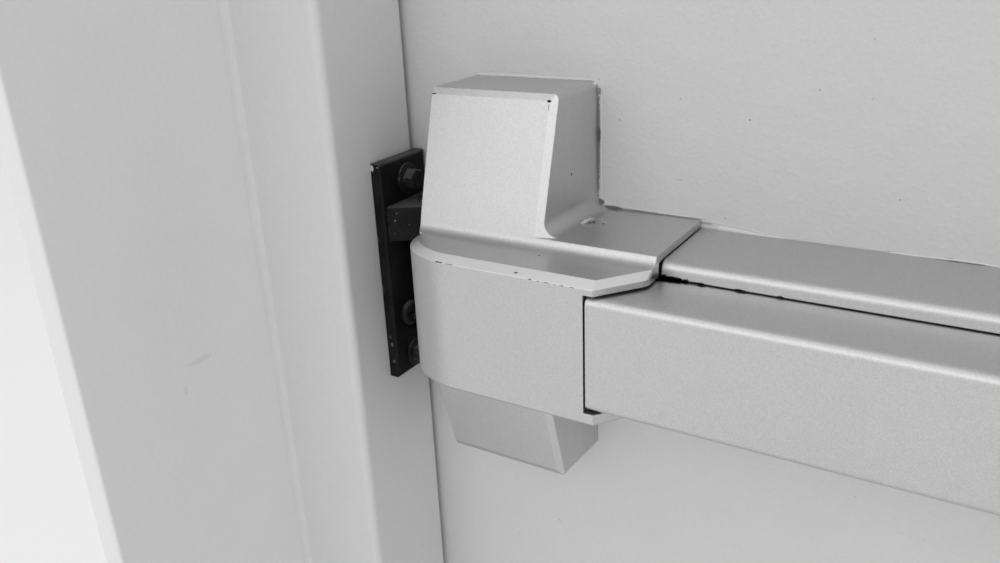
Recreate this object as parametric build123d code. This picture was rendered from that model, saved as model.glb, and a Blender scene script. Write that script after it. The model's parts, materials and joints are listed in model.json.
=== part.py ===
from build123d import *
import math
import os

# An exit door: pressed steel frame with its reveal lining, hollow steel leaf on three
# hinges, and a rim touch-bar exit device that works a sliding latch behind a roller strike.
# X runs to the right, Y runs through the leaf from the push side, Z is up. The origin is on
# the floor, midway between the jambs, in the plane of the leaf's push face.

# Leaf
leaf_width = 915.0
leaf_height = 2100.0
leaf_thickness = 44.5
edge_gap = 3.0
floor_gap = 8.0
skin = 1.2
channel_sheet = 1.5
channel_leg = 30.0

# Pressed frame
frame_sheet = 1.5
stop_height = 16.0
stop_gap = 2.0
soffit_depth = 56.3
outer_face_y = 46.0
back_return = 12.0
visible_face = 49.5
front_bend = 3.0
other_bend = 2.5

# Reveal lining and the bead in its corner
lining_thickness = 12.0
lining_depth = 97.7
lining_round = 1.2
bead_leg = 3.2

# Places that follow from the leaf and the frame
leaf_x = leaf_width / 2
leaf_top = floor_gap + leaf_height
rebate_x = leaf_x + edge_gap
soffit_x = rebate_x - stop_height
face_x = soffit_x + visible_face
silencer_x = -soffit_x - stop_height / 2
outer_x = face_x + lining_thickness
soffit_z = leaf_top + edge_gap - stop_height
face_z = soffit_z + visible_face
outer_z = face_z + lining_thickness
member_width = visible_face + lining_thickness
far = 3000.0
rise = (Align.CENTER, Align.CENTER, Align.MIN)

# Fastenings and buffers of the frame
silencer_heights = (300.0, 1250.0, 1900.0)
silencer_hole = 4.0
anchor_heights = (300.0, 1050.0, 1800.0)
anchor_y = -5.0
anchor_hole = 5.0
anchor_width = 40.0
floor_clip = 2.5

# Hinges
hinge_heights = {"bottom": 258.0, "middle": 1058.0, "top": 1858.0}
hinge_length = 114.0
hinge_plate = 3.4
hinge_backset = 8.0
knuckle_radius = 7.0
knuckle_gap = 0.3
hinge_pin_radius = 4.0
hinge_axis_x = leaf_x + edge_gap / 2
hinge_axis_y = leaf_thickness + 9.0
hinge_screw_rows = (-42.0, -16.0, 16.0, 42.0)
hinge_screw_radius = 2.6
hinge_head_radius = 5.4
backer_half_height = 90.0

# The exit device is laid out from the end of the cover's arm and the bar's centreline.
device_x = -308.0
device_z = 1000.0

# Latch cover, a cast shell: a tall head and an arm share one leaning front over a band
head_left = -101.9
head_right = -44.3
head_draft = 0.037
head_half = 82.5
head_lip = 30.4
head_brow = 31.9
brow_drop = 2.6
lean = 0.28
head_foot = 46.5
ledge_half = 27.7
cove = 4.0
side_bevel = 3.1
side_bevel_back = 1.0
head_corners = ((head_right, 1, 2.2), (head_left, 1, 1.0), (head_right, -1, 1.5), (head_left, -1, 1.0))
toe_round = 8.0
toe_front = 52.0
arm_half = 31.3
band_front = 70.0
band_half = 25.2
band_round_x = 28.0
band_round_y = 23.5
ledge_bevel = 3.6
cut_x = -13.0
cut_end = 52.9
cut_round = 6.0
cut_bevel = 2.5
low_bevel = 1.0
seam_x = -16.7
cover_wall = 3.0
band_wall = 3.5
bar_slot_half = 22.9
corner_fillet = 6.0
cover_screw_x = -37.6
cover_screw_y = -19.8

# Rail, bar and end cap
rail_start = 0.5
rail_end = 640.0
rail_half = 28.3
rail_depth = 42.0
rail_back = 3.0
rail_wall = 2.5
rail_lip = 2.0
rail_lip_half = 22.5
bar_start = -15.9
bar_end = 638.8
bar_half = 22.0
bar_wall = 2.5
bar_front_wall = 3.0
bar_round = 3.0
bar_back = 21.3
hook = 2.5
hook_half = 25.3
cap_end = 693.0
cap_round = 17.5
cap_screw_x = 660.0

# Linkage
bar_travel = 15.9
crank_places = {"left": 120.0, "right": 520.0}
crank_y = -26.0
bar_arm = 22.0
rod_arm = 26.0
crank_angle = math.degrees(math.asin(bar_travel / 2 / bar_arm))
rod_travel = 2 * rod_arm * math.sin(math.radians(crank_angle))
crank_pin_radius = 3.0
hub_half = 13.6
ear_inner = 14.0
ear_outer = 16.5
bracket_sheet = 3.0
crank_screw_reach = 14.0
drive_pin_radius = 2.5
running_fit = 0.06
slot_fit = 0.09
rod_radius = 3.0
rod_y = -51.1
eye_half = 1.5
eye_end = -70.5
eye_root = -50.5
slot_spare = 0.3
pin_slot = 0.12
collar_x = 199.0
collar_width = 5.0
guide_x = 250.0
guide_sheet = 2.5
chords_a_turn = 10

# Latch and strike
bolt_half = 11.5
bolt_back = -22.5
bolt_front = -40.0
bolt_nose = -101.5
bolt_tail = -62.0
tail_end = -75.5
cheek_inner = 12.0
cheek_outer = 15.0
guide_pin_radius = 2.0
guide_pin_y = -36.3
guide_pin_places = (-65.0, -74.0)
strike_face = -131.2
strike_front = -33.0
strike_back = -1.0
strike_low = -54.2
strike_high = 48.3
lug_top = (13.1, 28.9)
lug_bottom = (-37.3, -21.5)
lug_top_front = ((strike_face, -31.0),)
lug_bottom_front = ((strike_face, -14.8), (-128.2, -14.8), (-124.5, -21.0))
drive_x = -72.0
spring_y = -28.4
roller_x = -121.0
roller_y = -14.0
roller_radius = 7.5
roller_chamfer = 0.6
roller_pin_radius = 3.0
strike_screws_yz = ((-15.0, 38.3), (-19.0, -46.2))
lock_screw_yz = (-21.5, -24.8)
strike_holes_yz = (*strike_screws_yz, lock_screw_yz)
washer_radius = 6.8
hexagon_inner_radius = 4.2
hexagon_height = 6.2
lock_head_radius = 5.9
lock_head_height = 2.6
lock_head_round = 1.9
strike_plane = -soffit_x - device_x

# Screws into the leaf, and the tapped plates behind them as (X, X, half height)
screw_radius = 3.0
clear_radius = 3.3
thread_fit = 0.04
press_fit = 0.02
chassis_screws_xz = ((-88.0, 60.0), (-58.0, 60.0), (-88.0, -60.0), (-58.0, -60.0))
guide_screws_xz = ((260.0, 0.0),)
end_screws_xz = ((650.0, 0.0), (680.0, 0.0))
backer_thickness = 5.0
backer_boxes = (
    (-100.0, -46.0, 76.0),
    (100.0, 140.0, 22.0),
    (500.0, 540.0, 22.0),
    (643.0, 687.0, 22.0),
)


def block(x0, x1, y0, y1, z0, z1):
    """Box between two corners."""
    centre = ((x0 + x1) / 2, (y0 + y1) / 2, (z0 + z1) / 2)
    return Pos(*centre) * Box(abs(x1 - x0), abs(y1 - y0), abs(z1 - z0))


def drum_x(x0, x1, y, z, radius):
    """Cylinder along X."""
    return Pos((x0 + x1) / 2, y, z) * Rot(0, 90, 0) * Cylinder(radius, abs(x1 - x0))


def drum_y(x, y0, y1, z, radius):
    """Cylinder along Y."""
    return Pos(x, (y0 + y1) / 2, z) * Rot(90, 0, 0) * Cylinder(radius, abs(y1 - y0))


def drum_z(x, y, z0, z1, radius):
    """Cylinder along Z."""
    return Pos(x, y, (z0 + z1) / 2) * Cylinder(radius, abs(z1 - z0))


def plan(points, z0, z1):
    """Prism over a closed outline in X and Y."""
    return extrude(Pos(0, 0, z0) * make_face(Polyline(*points, close=True)), z1 - z0)


def side(points, x0, x1):
    """Prism along X over a closed outline in Y and Z."""
    face = Plane.YZ.offset(x0) * make_face(Polyline(*points, close=True))
    return extrude(face, x1 - x0)


def slot_x(x0, x1, y, radius, z0, z1):
    """Slot tool that runs along X and cuts through in Z."""
    body = block(x0, x1, y - radius, y + radius, z0, z1)
    return body + drum_z(x0, y, z0, z1, radius) + drum_z(x1, y, z0, z1, radius)


def both(solid):
    """A solid and its twin on the other side of the bar's centreline."""
    return solid + mirror(solid, Plane.XY)


def at_device(solid):
    """Place a piece of the device on the leaf."""
    return Pos(device_x, 0, device_z) * solid


def one(shape):
    """The single solid of a shape."""
    return shape.solids()[0]


def group(shapes):
    """Several like solids as one node."""
    return Compound(children=[one(s) for s in shapes])


# Frame

def member_section():
    """Folded section of a frame member: X outward from the soffit, Y through the wall."""
    middle = frame_sheet / 2
    points = (
        (member_width - middle, outer_face_y - back_return),
        (member_width - middle, outer_face_y - middle),
        (stop_height + middle, outer_face_y - middle),
        (stop_height + middle, -stop_gap - middle),
        (middle, -stop_gap - middle),
        (middle, -soffit_depth + middle),
        (member_width - middle, -soffit_depth + middle),
        (member_width - middle, -soffit_depth + back_return),
    )
    bends = (other_bend, other_bend, other_bend, other_bend, front_bend, other_bend)
    return trace(FilletPolyline(*points, radius=bends), line_width=frame_sheet)


def mitre_tool():
    """Everything above the 45 degree joint between a jamb and the head."""
    points = ((-9, soffit_z - 9), (far, soffit_z + far), (-9, soffit_z + far))
    face = Plane.XZ.offset(-200) * make_face(Polyline(*points, close=True))
    return extrude(face, 400)


def right_jamb():
    """Blank of a jamb on the hinge side."""
    return Pos(soffit_x, 0, 0) * (extrude(member_section(), outer_z) - mitre_tool())


def frame_head():
    """Head member, mitred to both jambs."""
    length = 2 * outer_x
    bar = Pos(length / 2, 0, soffit_z) * Rot(0, -90, 0) * extrude(member_section(), length)
    cut = Pos(soffit_x, 0, 0) * mitre_tool()
    kept = bar & (block(-soffit_x, soffit_x, -99, 99, soffit_z - 9, far) + cut + mirror(cut, Plane.YZ))
    return kept


def strike_jamb():
    """Jamb on the latch side, punched for the strike and the silencers."""
    jamb = mirror(right_jamb(), Plane.YZ)
    for y, z in strike_holes_yz:
        jamb -= drum_x(-soffit_x - 3, -soffit_x + 3, y, device_z + z, clear_radius)
    for z in silencer_heights:
        jamb -= drum_y(silencer_x, -stop_gap - 3, -stop_gap + 1, z, silencer_hole)
    return jamb


def hinge_pocket(z, side_of_gap):
    """Recess that a hinge plate lies in, on the frame (+1) or on the leaf (-1)."""
    if side_of_gap > 0:
        near, deep = rebate_x - 1, rebate_x + hinge_plate
    else:
        near, deep = leaf_x + 1, leaf_x - hinge_plate
    half = hinge_length / 2
    return block(near, deep, hinge_backset, leaf_thickness + 6, z - half, z + half)


def hinge_jamb():
    """Jamb on the hinge side, notched for the hinge plates."""
    jamb = right_jamb()
    for z in hinge_heights.values():
        jamb -= hinge_pocket(z, +1)
    return jamb


def frame_hinge_backers():
    """Plates welded inside the hinge jamb, tapped for the hinge screws."""
    plates = []
    for z in hinge_heights.values():
        inner = rebate_x + frame_sheet
        low, high = z - backer_half_height, z + backer_half_height
        plate = block(inner, inner + backer_thickness, 3, 42, low, high)
        plates.append(plate - hinge_pocket(z, +1) - hinge_screw_holes(z, +1))
    return group(plates)


def jamb_anchors():
    """Straps inside the jambs, each with a hole for the bolt into the wall."""
    inner = frame_sheet * 1.5
    front, back = -soffit_depth + inner, outer_face_y - inner
    line = FilletPolyline((34, back), (56, back), (56, front), (34, front), radius=2.0)
    strap = extrude(trace(line, line_width=frame_sheet), anchor_width)
    straps = []
    for z in anchor_heights:
        right = Pos(soffit_x, 0, z - anchor_width / 2) * strap
        right -= drum_x(soffit_x + 50, soffit_x + 60, anchor_y, z, anchor_hole)
        straps += [right, mirror(right, Plane.YZ)]
    return group(straps)


def floor_clips():
    """Angle clips that hold the feet of the jambs to the floor."""
    near, deep = soffit_x + 18, soffit_x + 48
    foot = block(near, deep, -50, -14, 0, floor_clip)
    foot += block(near, deep, -soffit_depth + frame_sheet, -50, 0, 60)
    foot -= drum_z(soffit_x + 33, -30, -1, 4, 4.5)
    return group([foot, mirror(foot, Plane.YZ)])


def door_silencers():
    """Rubber buttons that the leaf closes against."""
    buttons = []
    for z in silencer_heights:
        dome = Pos(silencer_x, -stop_gap, z) * Rot(-90, 0, 0) * Cone(5.8, 4.2, 1.8, align=rise)
        stem = drum_y(silencer_x, -stop_gap - frame_sheet, -stop_gap, z, silencer_hole - 0.1)
        bulb_top = Pos(silencer_x, -stop_gap - frame_sheet, z) * Rot(90, 0, 0)
        buttons.append(dome + stem + bulb_top * Cone(4.9, 2.6, 5.0, align=rise))
    return group(buttons)


def reveal_side(sign):
    """Lining board of a side of the reveal."""
    board = block(face_x, outer_x, -soffit_depth - lining_depth, -soffit_depth, 0, outer_z)
    board = fillet(board.edges().filter_by(Axis.Z).group_by(Axis.Y)[0], lining_round)
    return board if sign > 0 else mirror(board, Plane.YZ)


def reveal_head():
    """Lining board over the reveal."""
    board = block(-face_x, face_x, -soffit_depth - lining_depth, -soffit_depth, face_z, outer_z)
    return fillet(board.edges().filter_by(Axis.X).group_by(Axis.Y)[0], lining_round)


def corner_bead():
    """Sealant bead where the lining meets the frame's face, hollow on its visible side."""
    corner = (visible_face, -soffit_depth)
    start = (visible_face - bead_leg, -soffit_depth)
    finish = (visible_face, -soffit_depth - bead_leg)
    throat = bead_leg * 0.38
    arc = ThreePointArc(finish, (visible_face - throat, -soffit_depth - throat), start)
    section = make_face(Polyline(start, corner, finish) + arc)
    run = Pos(soffit_x, 0, 0) * (extrude(section, face_z) - mitre_tool())
    length = 2 * face_x
    top = Pos(length / 2, 0, soffit_z) * Rot(0, -90, 0) * extrude(section, length)
    cut = Pos(soffit_x, 0, 0) * mitre_tool()
    top = top & (block(-soffit_x, soffit_x, -99, 99, soffit_z, far) + cut + mirror(cut, Plane.YZ))
    return run + top + mirror(run, Plane.YZ)


# Leaf

def leaf_pan(y0, y1):
    """Half of the leaf's sheet skin, folded round both upright edges."""
    pan = block(-leaf_x, leaf_x, y0, y1, floor_gap, leaf_top)
    outer = pan.edges().filter_by(Axis.Z).group_by(Axis.Y)
    pan = fillet(outer[0] if y0 == 0 else outer[-1], skin + 0.6)
    inner_y = (skin, y1 + 1) if y0 == 0 else (y0 - 1, y1 - skin)
    hollow = block(-leaf_x + skin, leaf_x - skin, *inner_y, floor_gap - 1, leaf_top + 1)
    return pan - hollow


def leaf_inner_skin():
    """Push-side skin, drilled for the device's screws and cut for the hinges."""
    pan = leaf_pan(0, leaf_thickness / 2)
    for z in hinge_heights.values():
        pan -= hinge_pocket(z, -1)
    for x, z in device_screw_places():
        pan -= drum_y(x, -1, skin + 1, z, clear_radius)
    return pan


def leaf_outer_skin():
    """Pull-side skin."""
    pan = leaf_pan(leaf_thickness / 2, leaf_thickness)
    for z in hinge_heights.values():
        pan -= hinge_pocket(z, -1)
    return pan


def leaf_cap_channel(z_outer, z_inner):
    """Channel that closes the top or the bottom of the leaf."""
    up = 1 if z_inner > z_outer else -1
    x = leaf_x - skin
    body = block(-x, x, skin, leaf_thickness - skin, z_outer, z_inner)
    return body - block(
        -x - 1,
        x + 1,
        skin + channel_sheet,
        leaf_thickness - skin - channel_sheet,
        z_outer + up * channel_sheet,
        z_inner + up,
    )


def leaf_edge_channel(sign):
    """Upright channel inside an edge of the leaf."""
    x = leaf_x - skin
    low, high = floor_gap + channel_leg, leaf_top - channel_leg
    body = block(x - channel_leg, x, skin, leaf_thickness - skin, low, high)
    body -= block(
        x - channel_leg - 1,
        x - channel_sheet,
        skin + channel_sheet,
        leaf_thickness - skin - channel_sheet,
        low - 1,
        high + 1,
    )
    if sign < 0:
        return mirror(body, Plane.YZ)
    for z in hinge_heights.values():
        body -= hinge_pocket(z, -1)
    return body


def leaf_hinge_backers():
    """Plates inside the hinge edge, tapped for the hinge screws."""
    plates = []
    for z in hinge_heights.values():
        outer = leaf_x - skin - channel_sheet
        low, high = z - backer_half_height, z + backer_half_height
        plate = block(outer - backer_thickness, outer, 4, 40.5, low, high)
        plates.append(plate - hinge_pocket(z, -1) - hinge_screw_holes(z, -1))
    return group(plates)


def device_backers():
    """Tapped plates behind the push-side skin that the device is screwed to."""
    plates = []
    for x0, x1, half in backer_boxes:
        plate = block(x0, x1, skin, skin + backer_thickness, -half, half)
        plate = at_device(plate)
        for x, z in device_screw_places():
            plate -= drum_y(x, 0, 20, z, screw_radius + thread_fit)
        plates.append(plate)
    return group(plates)


def leaf_core():
    """Filling slab between the channels, recessed for the tapped plates."""
    x = leaf_x - skin - channel_leg
    low, high = floor_gap + channel_leg, leaf_top - channel_leg
    slab = block(-x, x, skin, leaf_thickness - skin, low, high)
    for x0, x1, half in backer_boxes:
        slab -= at_device(block(x0, x1, skin - 1, skin + backer_thickness, -half, half))
    for x, z in device_screw_places():
        slab -= drum_y(x, 0, 14, z, 4.0)
    return slab


# Hinges

def hinge_screw_places(z):
    """Where the screws of one hinge plate stand, as (Y, Z)."""
    return [(19.0 + 14.0 * (row % 2), z + dz) for row, dz in enumerate(hinge_screw_rows)]


def hinge_screw(y, z, side_of_gap, grow=0.0):
    """Countersunk screw with its head flush in a hinge plate."""
    face = rebate_x if side_of_gap > 0 else leaf_x
    turn = Rot(0, 90 * side_of_gap, 0)
    head = Cone(hinge_head_radius + grow, hinge_screw_radius + grow, 2.6, align=rise)
    shank = Cylinder(hinge_screw_radius + grow, 16.0, align=rise)
    return Pos(face, y, z) * turn * (head + shank)


def hinge_screw_holes(z, side_of_gap):
    """The holes that the screws of one hinge plate fill."""
    return Part() + [hinge_screw(y, dz, side_of_gap, thread_fit) for y, dz in hinge_screw_places(z)]


def hinge_screws(side_of_gap):
    """All the screws on one side of the hinges."""
    screws = []
    for z in hinge_heights.values():
        screws += [hinge_screw(y, dz, side_of_gap) for y, dz in hinge_screw_places(z)]
    return group(screws)


def hinge_leaf(z, side_of_gap):
    """Hinge plate with its own knuckles: three on the frame, two on the leaf."""
    half = hinge_length / 2
    face = rebate_x if side_of_gap > 0 else leaf_x
    back = face + side_of_gap * hinge_plate
    reach = hinge_axis_y - knuckle_radius - knuckle_gap
    plate = block(face, back, hinge_backset, reach, z - half, z + half)
    pitch = hinge_length / 5
    for index in range(5):
        mine = index % 2 == 0 if side_of_gap > 0 else index % 2 == 1
        if not mine:
            continue
        low = z - half + index * pitch + knuckle_gap / 2
        high = low + pitch - knuckle_gap
        plate += block(face, back, hinge_backset, hinge_axis_y - 4, low, high)
        plate += drum_z(hinge_axis_x, hinge_axis_y, low, high, knuckle_radius)
    bore = hinge_pin_radius + (press_fit if side_of_gap > 0 else running_fit)
    plate -= drum_z(hinge_axis_x, hinge_axis_y, z - half - 1, z + half + 1, bore)
    return plate - hinge_screw_holes(z, side_of_gap)


def hinge_pin(z):
    """Hinge pin with a button at the top."""
    half = hinge_length / 2
    pin = drum_z(hinge_axis_x, hinge_axis_y, z - half, z + half, hinge_pin_radius)
    return pin + Pos(hinge_axis_x, hinge_axis_y, z + half) * Cone(6.4, 4.6, 3.0, align=rise)


# Strike

def strike_plate():
    """Cast strike: a plate with a wedge lug above the roller and a set-back one below it."""
    plate = block(strike_plane, strike_face, strike_front, strike_back, strike_low, strike_high)
    plate = fillet(plate.edges().group_by(Axis.X)[-1], 1.4)
    for (low, high), front in ((lug_top, lug_top_front), (lug_bottom, lug_bottom_front)):
        outline = (
            (strike_face - 2, front[0][1]),
            *front,
            (-112.5, -20.0),
            (-111.0, -16.0),
            (-111.0, -6.0),
            (-114.0, -2.4),
            (strike_face - 2, -2.4),
        )
        lug = plan(outline, low, high)
        lug = fillet(lug.edges().group_by(Axis.Z)[0] + lug.edges().group_by(Axis.Z)[-1], 0.8)
        plate += lug
    for y, z in strike_holes_yz:
        plate -= drum_x(strike_plane - 1, strike_face + 1, y, z, clear_radius)
    plate -= drum_z(roller_x, roller_y, -99, 99, roller_pin_radius + press_fit)
    return at_device(plate)


def strike_backer():
    """Tapped plate welded behind the soffit."""
    inner = strike_plane - frame_sheet
    plate = block(inner - 4, inner, -46, -10, -72, 64)
    for y, z in strike_holes_yz:
        plate -= drum_x(inner - 9, inner + 1, y, z, screw_radius + thread_fit)
    return at_device(plate)


def strike_roller():
    """Steel roller that the latch bears on."""
    low, high = lug_bottom[1] + 0.4, lug_top[0] - 0.4
    tube = drum_z(roller_x, roller_y, low, high, roller_radius)
    tube = chamfer(tube.edges(), roller_chamfer)
    return at_device(tube - drum_z(roller_x, roller_y, -99, 99, roller_pin_radius + running_fit))


def roller_pin():
    """Pin of the roller, held in both lugs."""
    pin = drum_z(roller_x, roller_y, lug_bottom[0] - 0.5, lug_top[1], roller_pin_radius)
    return at_device(pin + Pos(roller_x, roller_y, lug_top[1]) * Cylinder(4.6, 1.2, align=rise))


def lock_head():
    """Low round head of the strike's lock screw, with a cross recess."""
    head = Cylinder(lock_head_radius, lock_head_height, align=rise)
    head = fillet(head.edges().group_by(Axis.Z)[-1], lock_head_round)
    arm = Pos(0, 0, lock_head_height) * Box(5.2, 1.2, 2.4)
    return head - arm - Rot(0, 0, 90) * arm


def strike_screws():
    """Hex washer-head screws of the strike, and the lock screw that keeps it from sliding."""
    flange = Cylinder(washer_radius, 1.4, align=rise)
    hexagon = extrude(RegularPolygon(hexagon_inner_radius, 6, major_radius=False), hexagon_height)
    shank = Rot(180, 0, 0) * Cylinder(screw_radius, 17.0, align=rise)
    heads = [flange + hexagon] * len(strike_screws_yz) + [lock_head()]
    places = [Pos(strike_face, y, z) * Rot(0, 90, 0) for y, z in strike_holes_yz]
    return group([at_device(place * (head + shank)) for place, head in zip(places, heads)])


# Latch cover

def upper_outline(points):
    """Upper half of a side outline, from given points down the leaning front and its cove."""
    slope = math.hypot(1, lean)
    centre_y = -head_foot - cove * (slope - lean)
    centre_z = ledge_half + cove
    leave = (centre_y + cove / slope, centre_z - cove * lean / slope)
    turn = -(math.atan(lean) + math.pi / 2) / 2
    middle = (centre_y + cove * math.cos(turn), centre_z + cove * math.sin(turn))
    toe = (centre_y, ledge_half)
    path = Polyline(*points, leave) + ThreePointArc(leave, middle, toe)
    return make_face(path + Polyline(toe, (centre_y, 0), points[0]))


def swept(face, x0, x1):
    """Upper half of a side outline run along X, with its twin below."""
    return both(extrude(Plane.YZ.offset(x0) * face, x1 - x0))


def drafted(right):
    """Everything left of the head's drafted right side."""
    back, front = 9.0, -90.0
    slant = ((right + head_draft * front, front), (right + head_draft * back, back))
    points = ((-200, back), (-200, front), *slant)
    return plan(points, -99, 99)


def head_form():
    """Tall head with its brow, the bevel down its right side and its soft corners."""
    points = ((1, 0), (1, head_half), (-head_lip, head_half), (-head_brow, head_half - brow_drop))
    head = swept(upper_outline(points), head_left, head_right) & drafted(head_right)
    for sign in (1, -1):
        front = [face for face in head.faces() if face.normal_at().Y < -0.9 and sign * face.center().Z > 40]
        front_right = [edge for edge in front[0].edges() if edge.center().X > head_right - 4]
        head = chamfer(front_right, side_bevel, side_bevel_back, reference=front[0])
    for x, sign, radius in head_corners:
        end_face = head.faces().sort_by(Axis.Z)[-1 if sign > 0 else 0]
        head = fillet([edge for edge in end_face.edges() if abs(edge.center().X - x) < 1.5], radius)
    return head


def band_outline(inset, cut_inset):
    """Outline of the band in plan: an elliptical left end and a slanting cut at the right."""
    left, front = head_left + inset, -band_front + inset
    centre = (head_left + band_round_x, -band_front + band_round_y)
    slant = math.atan2(band_front - cut_end, -cut_x)
    shift = cut_inset / math.sin(slant)
    start = (cut_x - shift + inset / math.tan(slant), front)
    corner_y = -cut_end + shift * math.tan(slant)
    run = cut_round * math.tan((math.pi / 2 - slant) / 2)
    bend = (-run * math.cos(slant), corner_y - run * math.sin(slant))
    leave = (0, corner_y + run)
    path = Polyline((0, 1), (left, 1), (left, centre[1]))
    path += EllipticalCenterArc(centre, band_round_x - inset, band_round_y - inset, 180, arc_size=90)
    path += Polyline((centre[0], front), start, bend)
    path += TangentArc(bend, leave, tangent=(math.cos(slant), math.sin(slant)))
    return make_face(path + Line(leave, (0, 1)))


def layer(outline, z):
    """A flat outline lifted to its height."""
    return Pos(0, 0, z) * outline


def band_form():
    """Band under the ledges, bevelled along its upper rim and a little along its lower one."""
    full = band_outline(0, 0)
    middle = extrude(layer(full, low_bevel - ledge_half), band_half + ledge_half - low_bevel)
    high_rim = band_outline(ledge_bevel, cut_bevel)
    upper = loft([layer(full, band_half), layer(high_rim, ledge_half)], ruled=True)
    low_rim = band_outline(low_bevel, low_bevel)
    lower = loft([layer(low_rim, -ledge_half), layer(full, low_bevel - ledge_half)], ruled=True)
    return middle + upper + lower


def toe_corner():
    """What lies outside the rounded left corner of the head's foot."""
    left, back, front = head_left - 9, -toe_front + toe_round, -toe_front
    bulge = toe_round * (1 - math.sqrt(0.5))
    path = Polyline((head_left + toe_round, front), (left, front), (left, back), (head_left, back))
    middle = (head_left + bulge, front + bulge)
    path += ThreePointArc((head_left, back), middle, (head_left + toe_round, front))
    return extrude(layer(make_face(path), -99), 198)


def cover_form():
    """Outer form of the cover: head, arm and band grown into one."""
    arm_points = ((1, 0), (1, arm_half), (lean * (arm_half - ledge_half) - head_foot, arm_half))
    form = head_form() + swept(upper_outline(arm_points), head_right - 10, 0)
    form = (form & extrude(layer(band_outline(0, 0), -99), 198)) - toe_corner() + band_form()
    corners = [
        edge
        for edge in form.edges()
        if abs(edge.center().X - head_right) < 2 and abs(abs(edge.center().Z) - arm_half) < 0.1
    ]
    return fillet(corners, corner_fillet)


def cover_hollow():
    """What is open inside the cover: head, arm, band, and the ways of the bar and the latch."""
    front = head_foot - cover_wall * math.hypot(1, lean)
    half = head_half - cover_wall
    lip = front - lean * (half - ledge_half)
    upper = ((2, 0), (2, half), (-lip, half), (-front, ledge_half), (-front, 0))
    hollow = swept(make_face(Polyline(*upper, close=True)), head_left + cover_wall, head_right)
    hollow &= drafted(head_right - cover_wall)
    hollow += block(head_right - 9, 2, 2, -front, -rail_half, rail_half)
    hollow += extrude(layer(band_outline(band_wall, 0), -bar_slot_half), 2 * bar_slot_half)
    hollow += block(seam_x, 3, 2, -band_front - 1, -bar_slot_half, bar_slot_half)
    way = bolt_half + 1.2
    return hollow + block(head_left - 1, head_left + 5, bolt_front - 1.5, bolt_back + 1.5, -way, way)


def latch_cover():
    """Cast cover over the latch, hollow behind and open where the bar runs in."""
    form = cover_form() - cover_hollow() - block(-200, 10, 0, 5, -99, 99)
    for sign in (1, -1):
        form -= cover_screw(sign, thread_fit)
    return at_device(form)


def cover_screw(sign, grow=0.0):
    """Countersunk screw down through the arm of the cover."""
    head = Cone(2.2 + grow, 4.7 + grow, 2.4, align=rise)
    shank = Rot(180, 0, 0) * Cylinder(2.2 + grow, 8.0, align=rise)
    screw = Pos(cover_screw_x, cover_screw_y, arm_half - 2.4) * (head + shank)
    return screw if sign > 0 else mirror(screw, Plane.XY)


def cover_screws():
    """The screws of the cover and of the end cap, above and below."""
    screws = [at_device(cover_screw(sign)) for sign in (1, -1)]
    return group(screws + [at_device(end_cap_screw(sign)) for sign in (1, -1)])


# Chassis of the latch

def latch_chassis():
    """Folded plate on the leaf with two slotted cheeks, a spring stop and ears for the cover."""
    plate_left = head_left + cover_wall + 0.4
    plate = block(plate_left, head_right - cover_wall - 0.4, -rail_back, 0, -78, 78)
    plate += block(head_right - 10, -3, -rail_back, 0, -24, 24)
    cheek = block(plate_left, -52, -43, 0, cheek_inner, cheek_outer)
    cheek -= slot_x(
        guide_pin_places[1] - rod_travel - 0.3,
        guide_pin_places[0] + 0.3,
        guide_pin_y,
        guide_pin_radius + running_fit,
        0,
        20,
    )
    ear = block(-47, -28, -32, 0, rail_half - 3, rail_half)
    ear += block(-47, -28, -rail_back, 0, 20, rail_half)
    ear -= cover_screw(1, thread_fit)
    stop = block(-50, -47.3, -38, 0, -10, 10)
    form = plate + both(cheek) + both(ear) + stop
    for x, z in chassis_screws_xz:
        form -= drum_y(x, -9, 1, z, clear_radius)
    return at_device(form)


def latch_bolt():
    """Sliding latch with a bevelled nose, a bore for its spring and a tail for the rod."""
    outline = (
        (bolt_nose, bolt_back),
        (bolt_nose, bolt_back - 3),
        (bolt_nose + 14.5, bolt_front),
        (bolt_tail, bolt_front),
        (bolt_tail, bolt_back),
    )
    bolt = plan(outline, -bolt_half, bolt_half)
    nose = [edge for edge in bolt.edges().filter_by(Axis.Z) if edge.center().X < bolt_nose + 0.1]
    bolt = fillet(nose, 1.2)
    bolt -= drum_x(-80, bolt_tail + 1, spring_y, 0, 5.2)
    bolt += block(tail_end, -64, -55, -39, 3.5, 7.5)
    bolt += drum_z(drive_x, rod_y, -3, 4, drive_pin_radius)
    for x in guide_pin_places:
        bolt -= drum_z(x, guide_pin_y, -20, 20, guide_pin_radius + press_fit)
    return at_device(bolt)


def latch_guide_pins():
    """Cross pins that carry the latch in the slots of the cheeks."""
    return group([
        at_device(drum_z(x, guide_pin_y, -cheek_outer - 1, cheek_outer + 1, guide_pin_radius))
        for x in guide_pin_places
    ])


def coil(x0, x1, y, radius, wire, turns):
    """Compression spring along X, wound as a hexagonal wire on straight chords of a helix."""
    length = x1 - x0 - 2 * wire
    steps = int(turns * chords_a_turn)
    points = []
    for step in range(steps + 1):
        angle = 2 * math.pi * turns * step / steps
        along = x0 + wire + length * step / steps
        points.append((along, y + radius * math.cos(angle), radius * math.sin(angle)))
    path = Polyline(*points)
    section = Plane(origin=path @ 0, z_dir=path % 0) * RegularPolygon(wire, 6)
    return at_device(sweep(section, path=path, transition=Transition.RIGHT))


def latch_spring():
    """Spring in the latch's bore that pushes it out."""
    return coil(-79.9, -50.1, spring_y, 3.9, 0.6, 9)


def bar_spring():
    """Spring on the pull rod that brings the bar and the latch back."""
    return coil(collar_x + collar_width + 0.1, guide_x - 0.1, rod_y, 4.6, 0.8, 10)


# Rail

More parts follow.
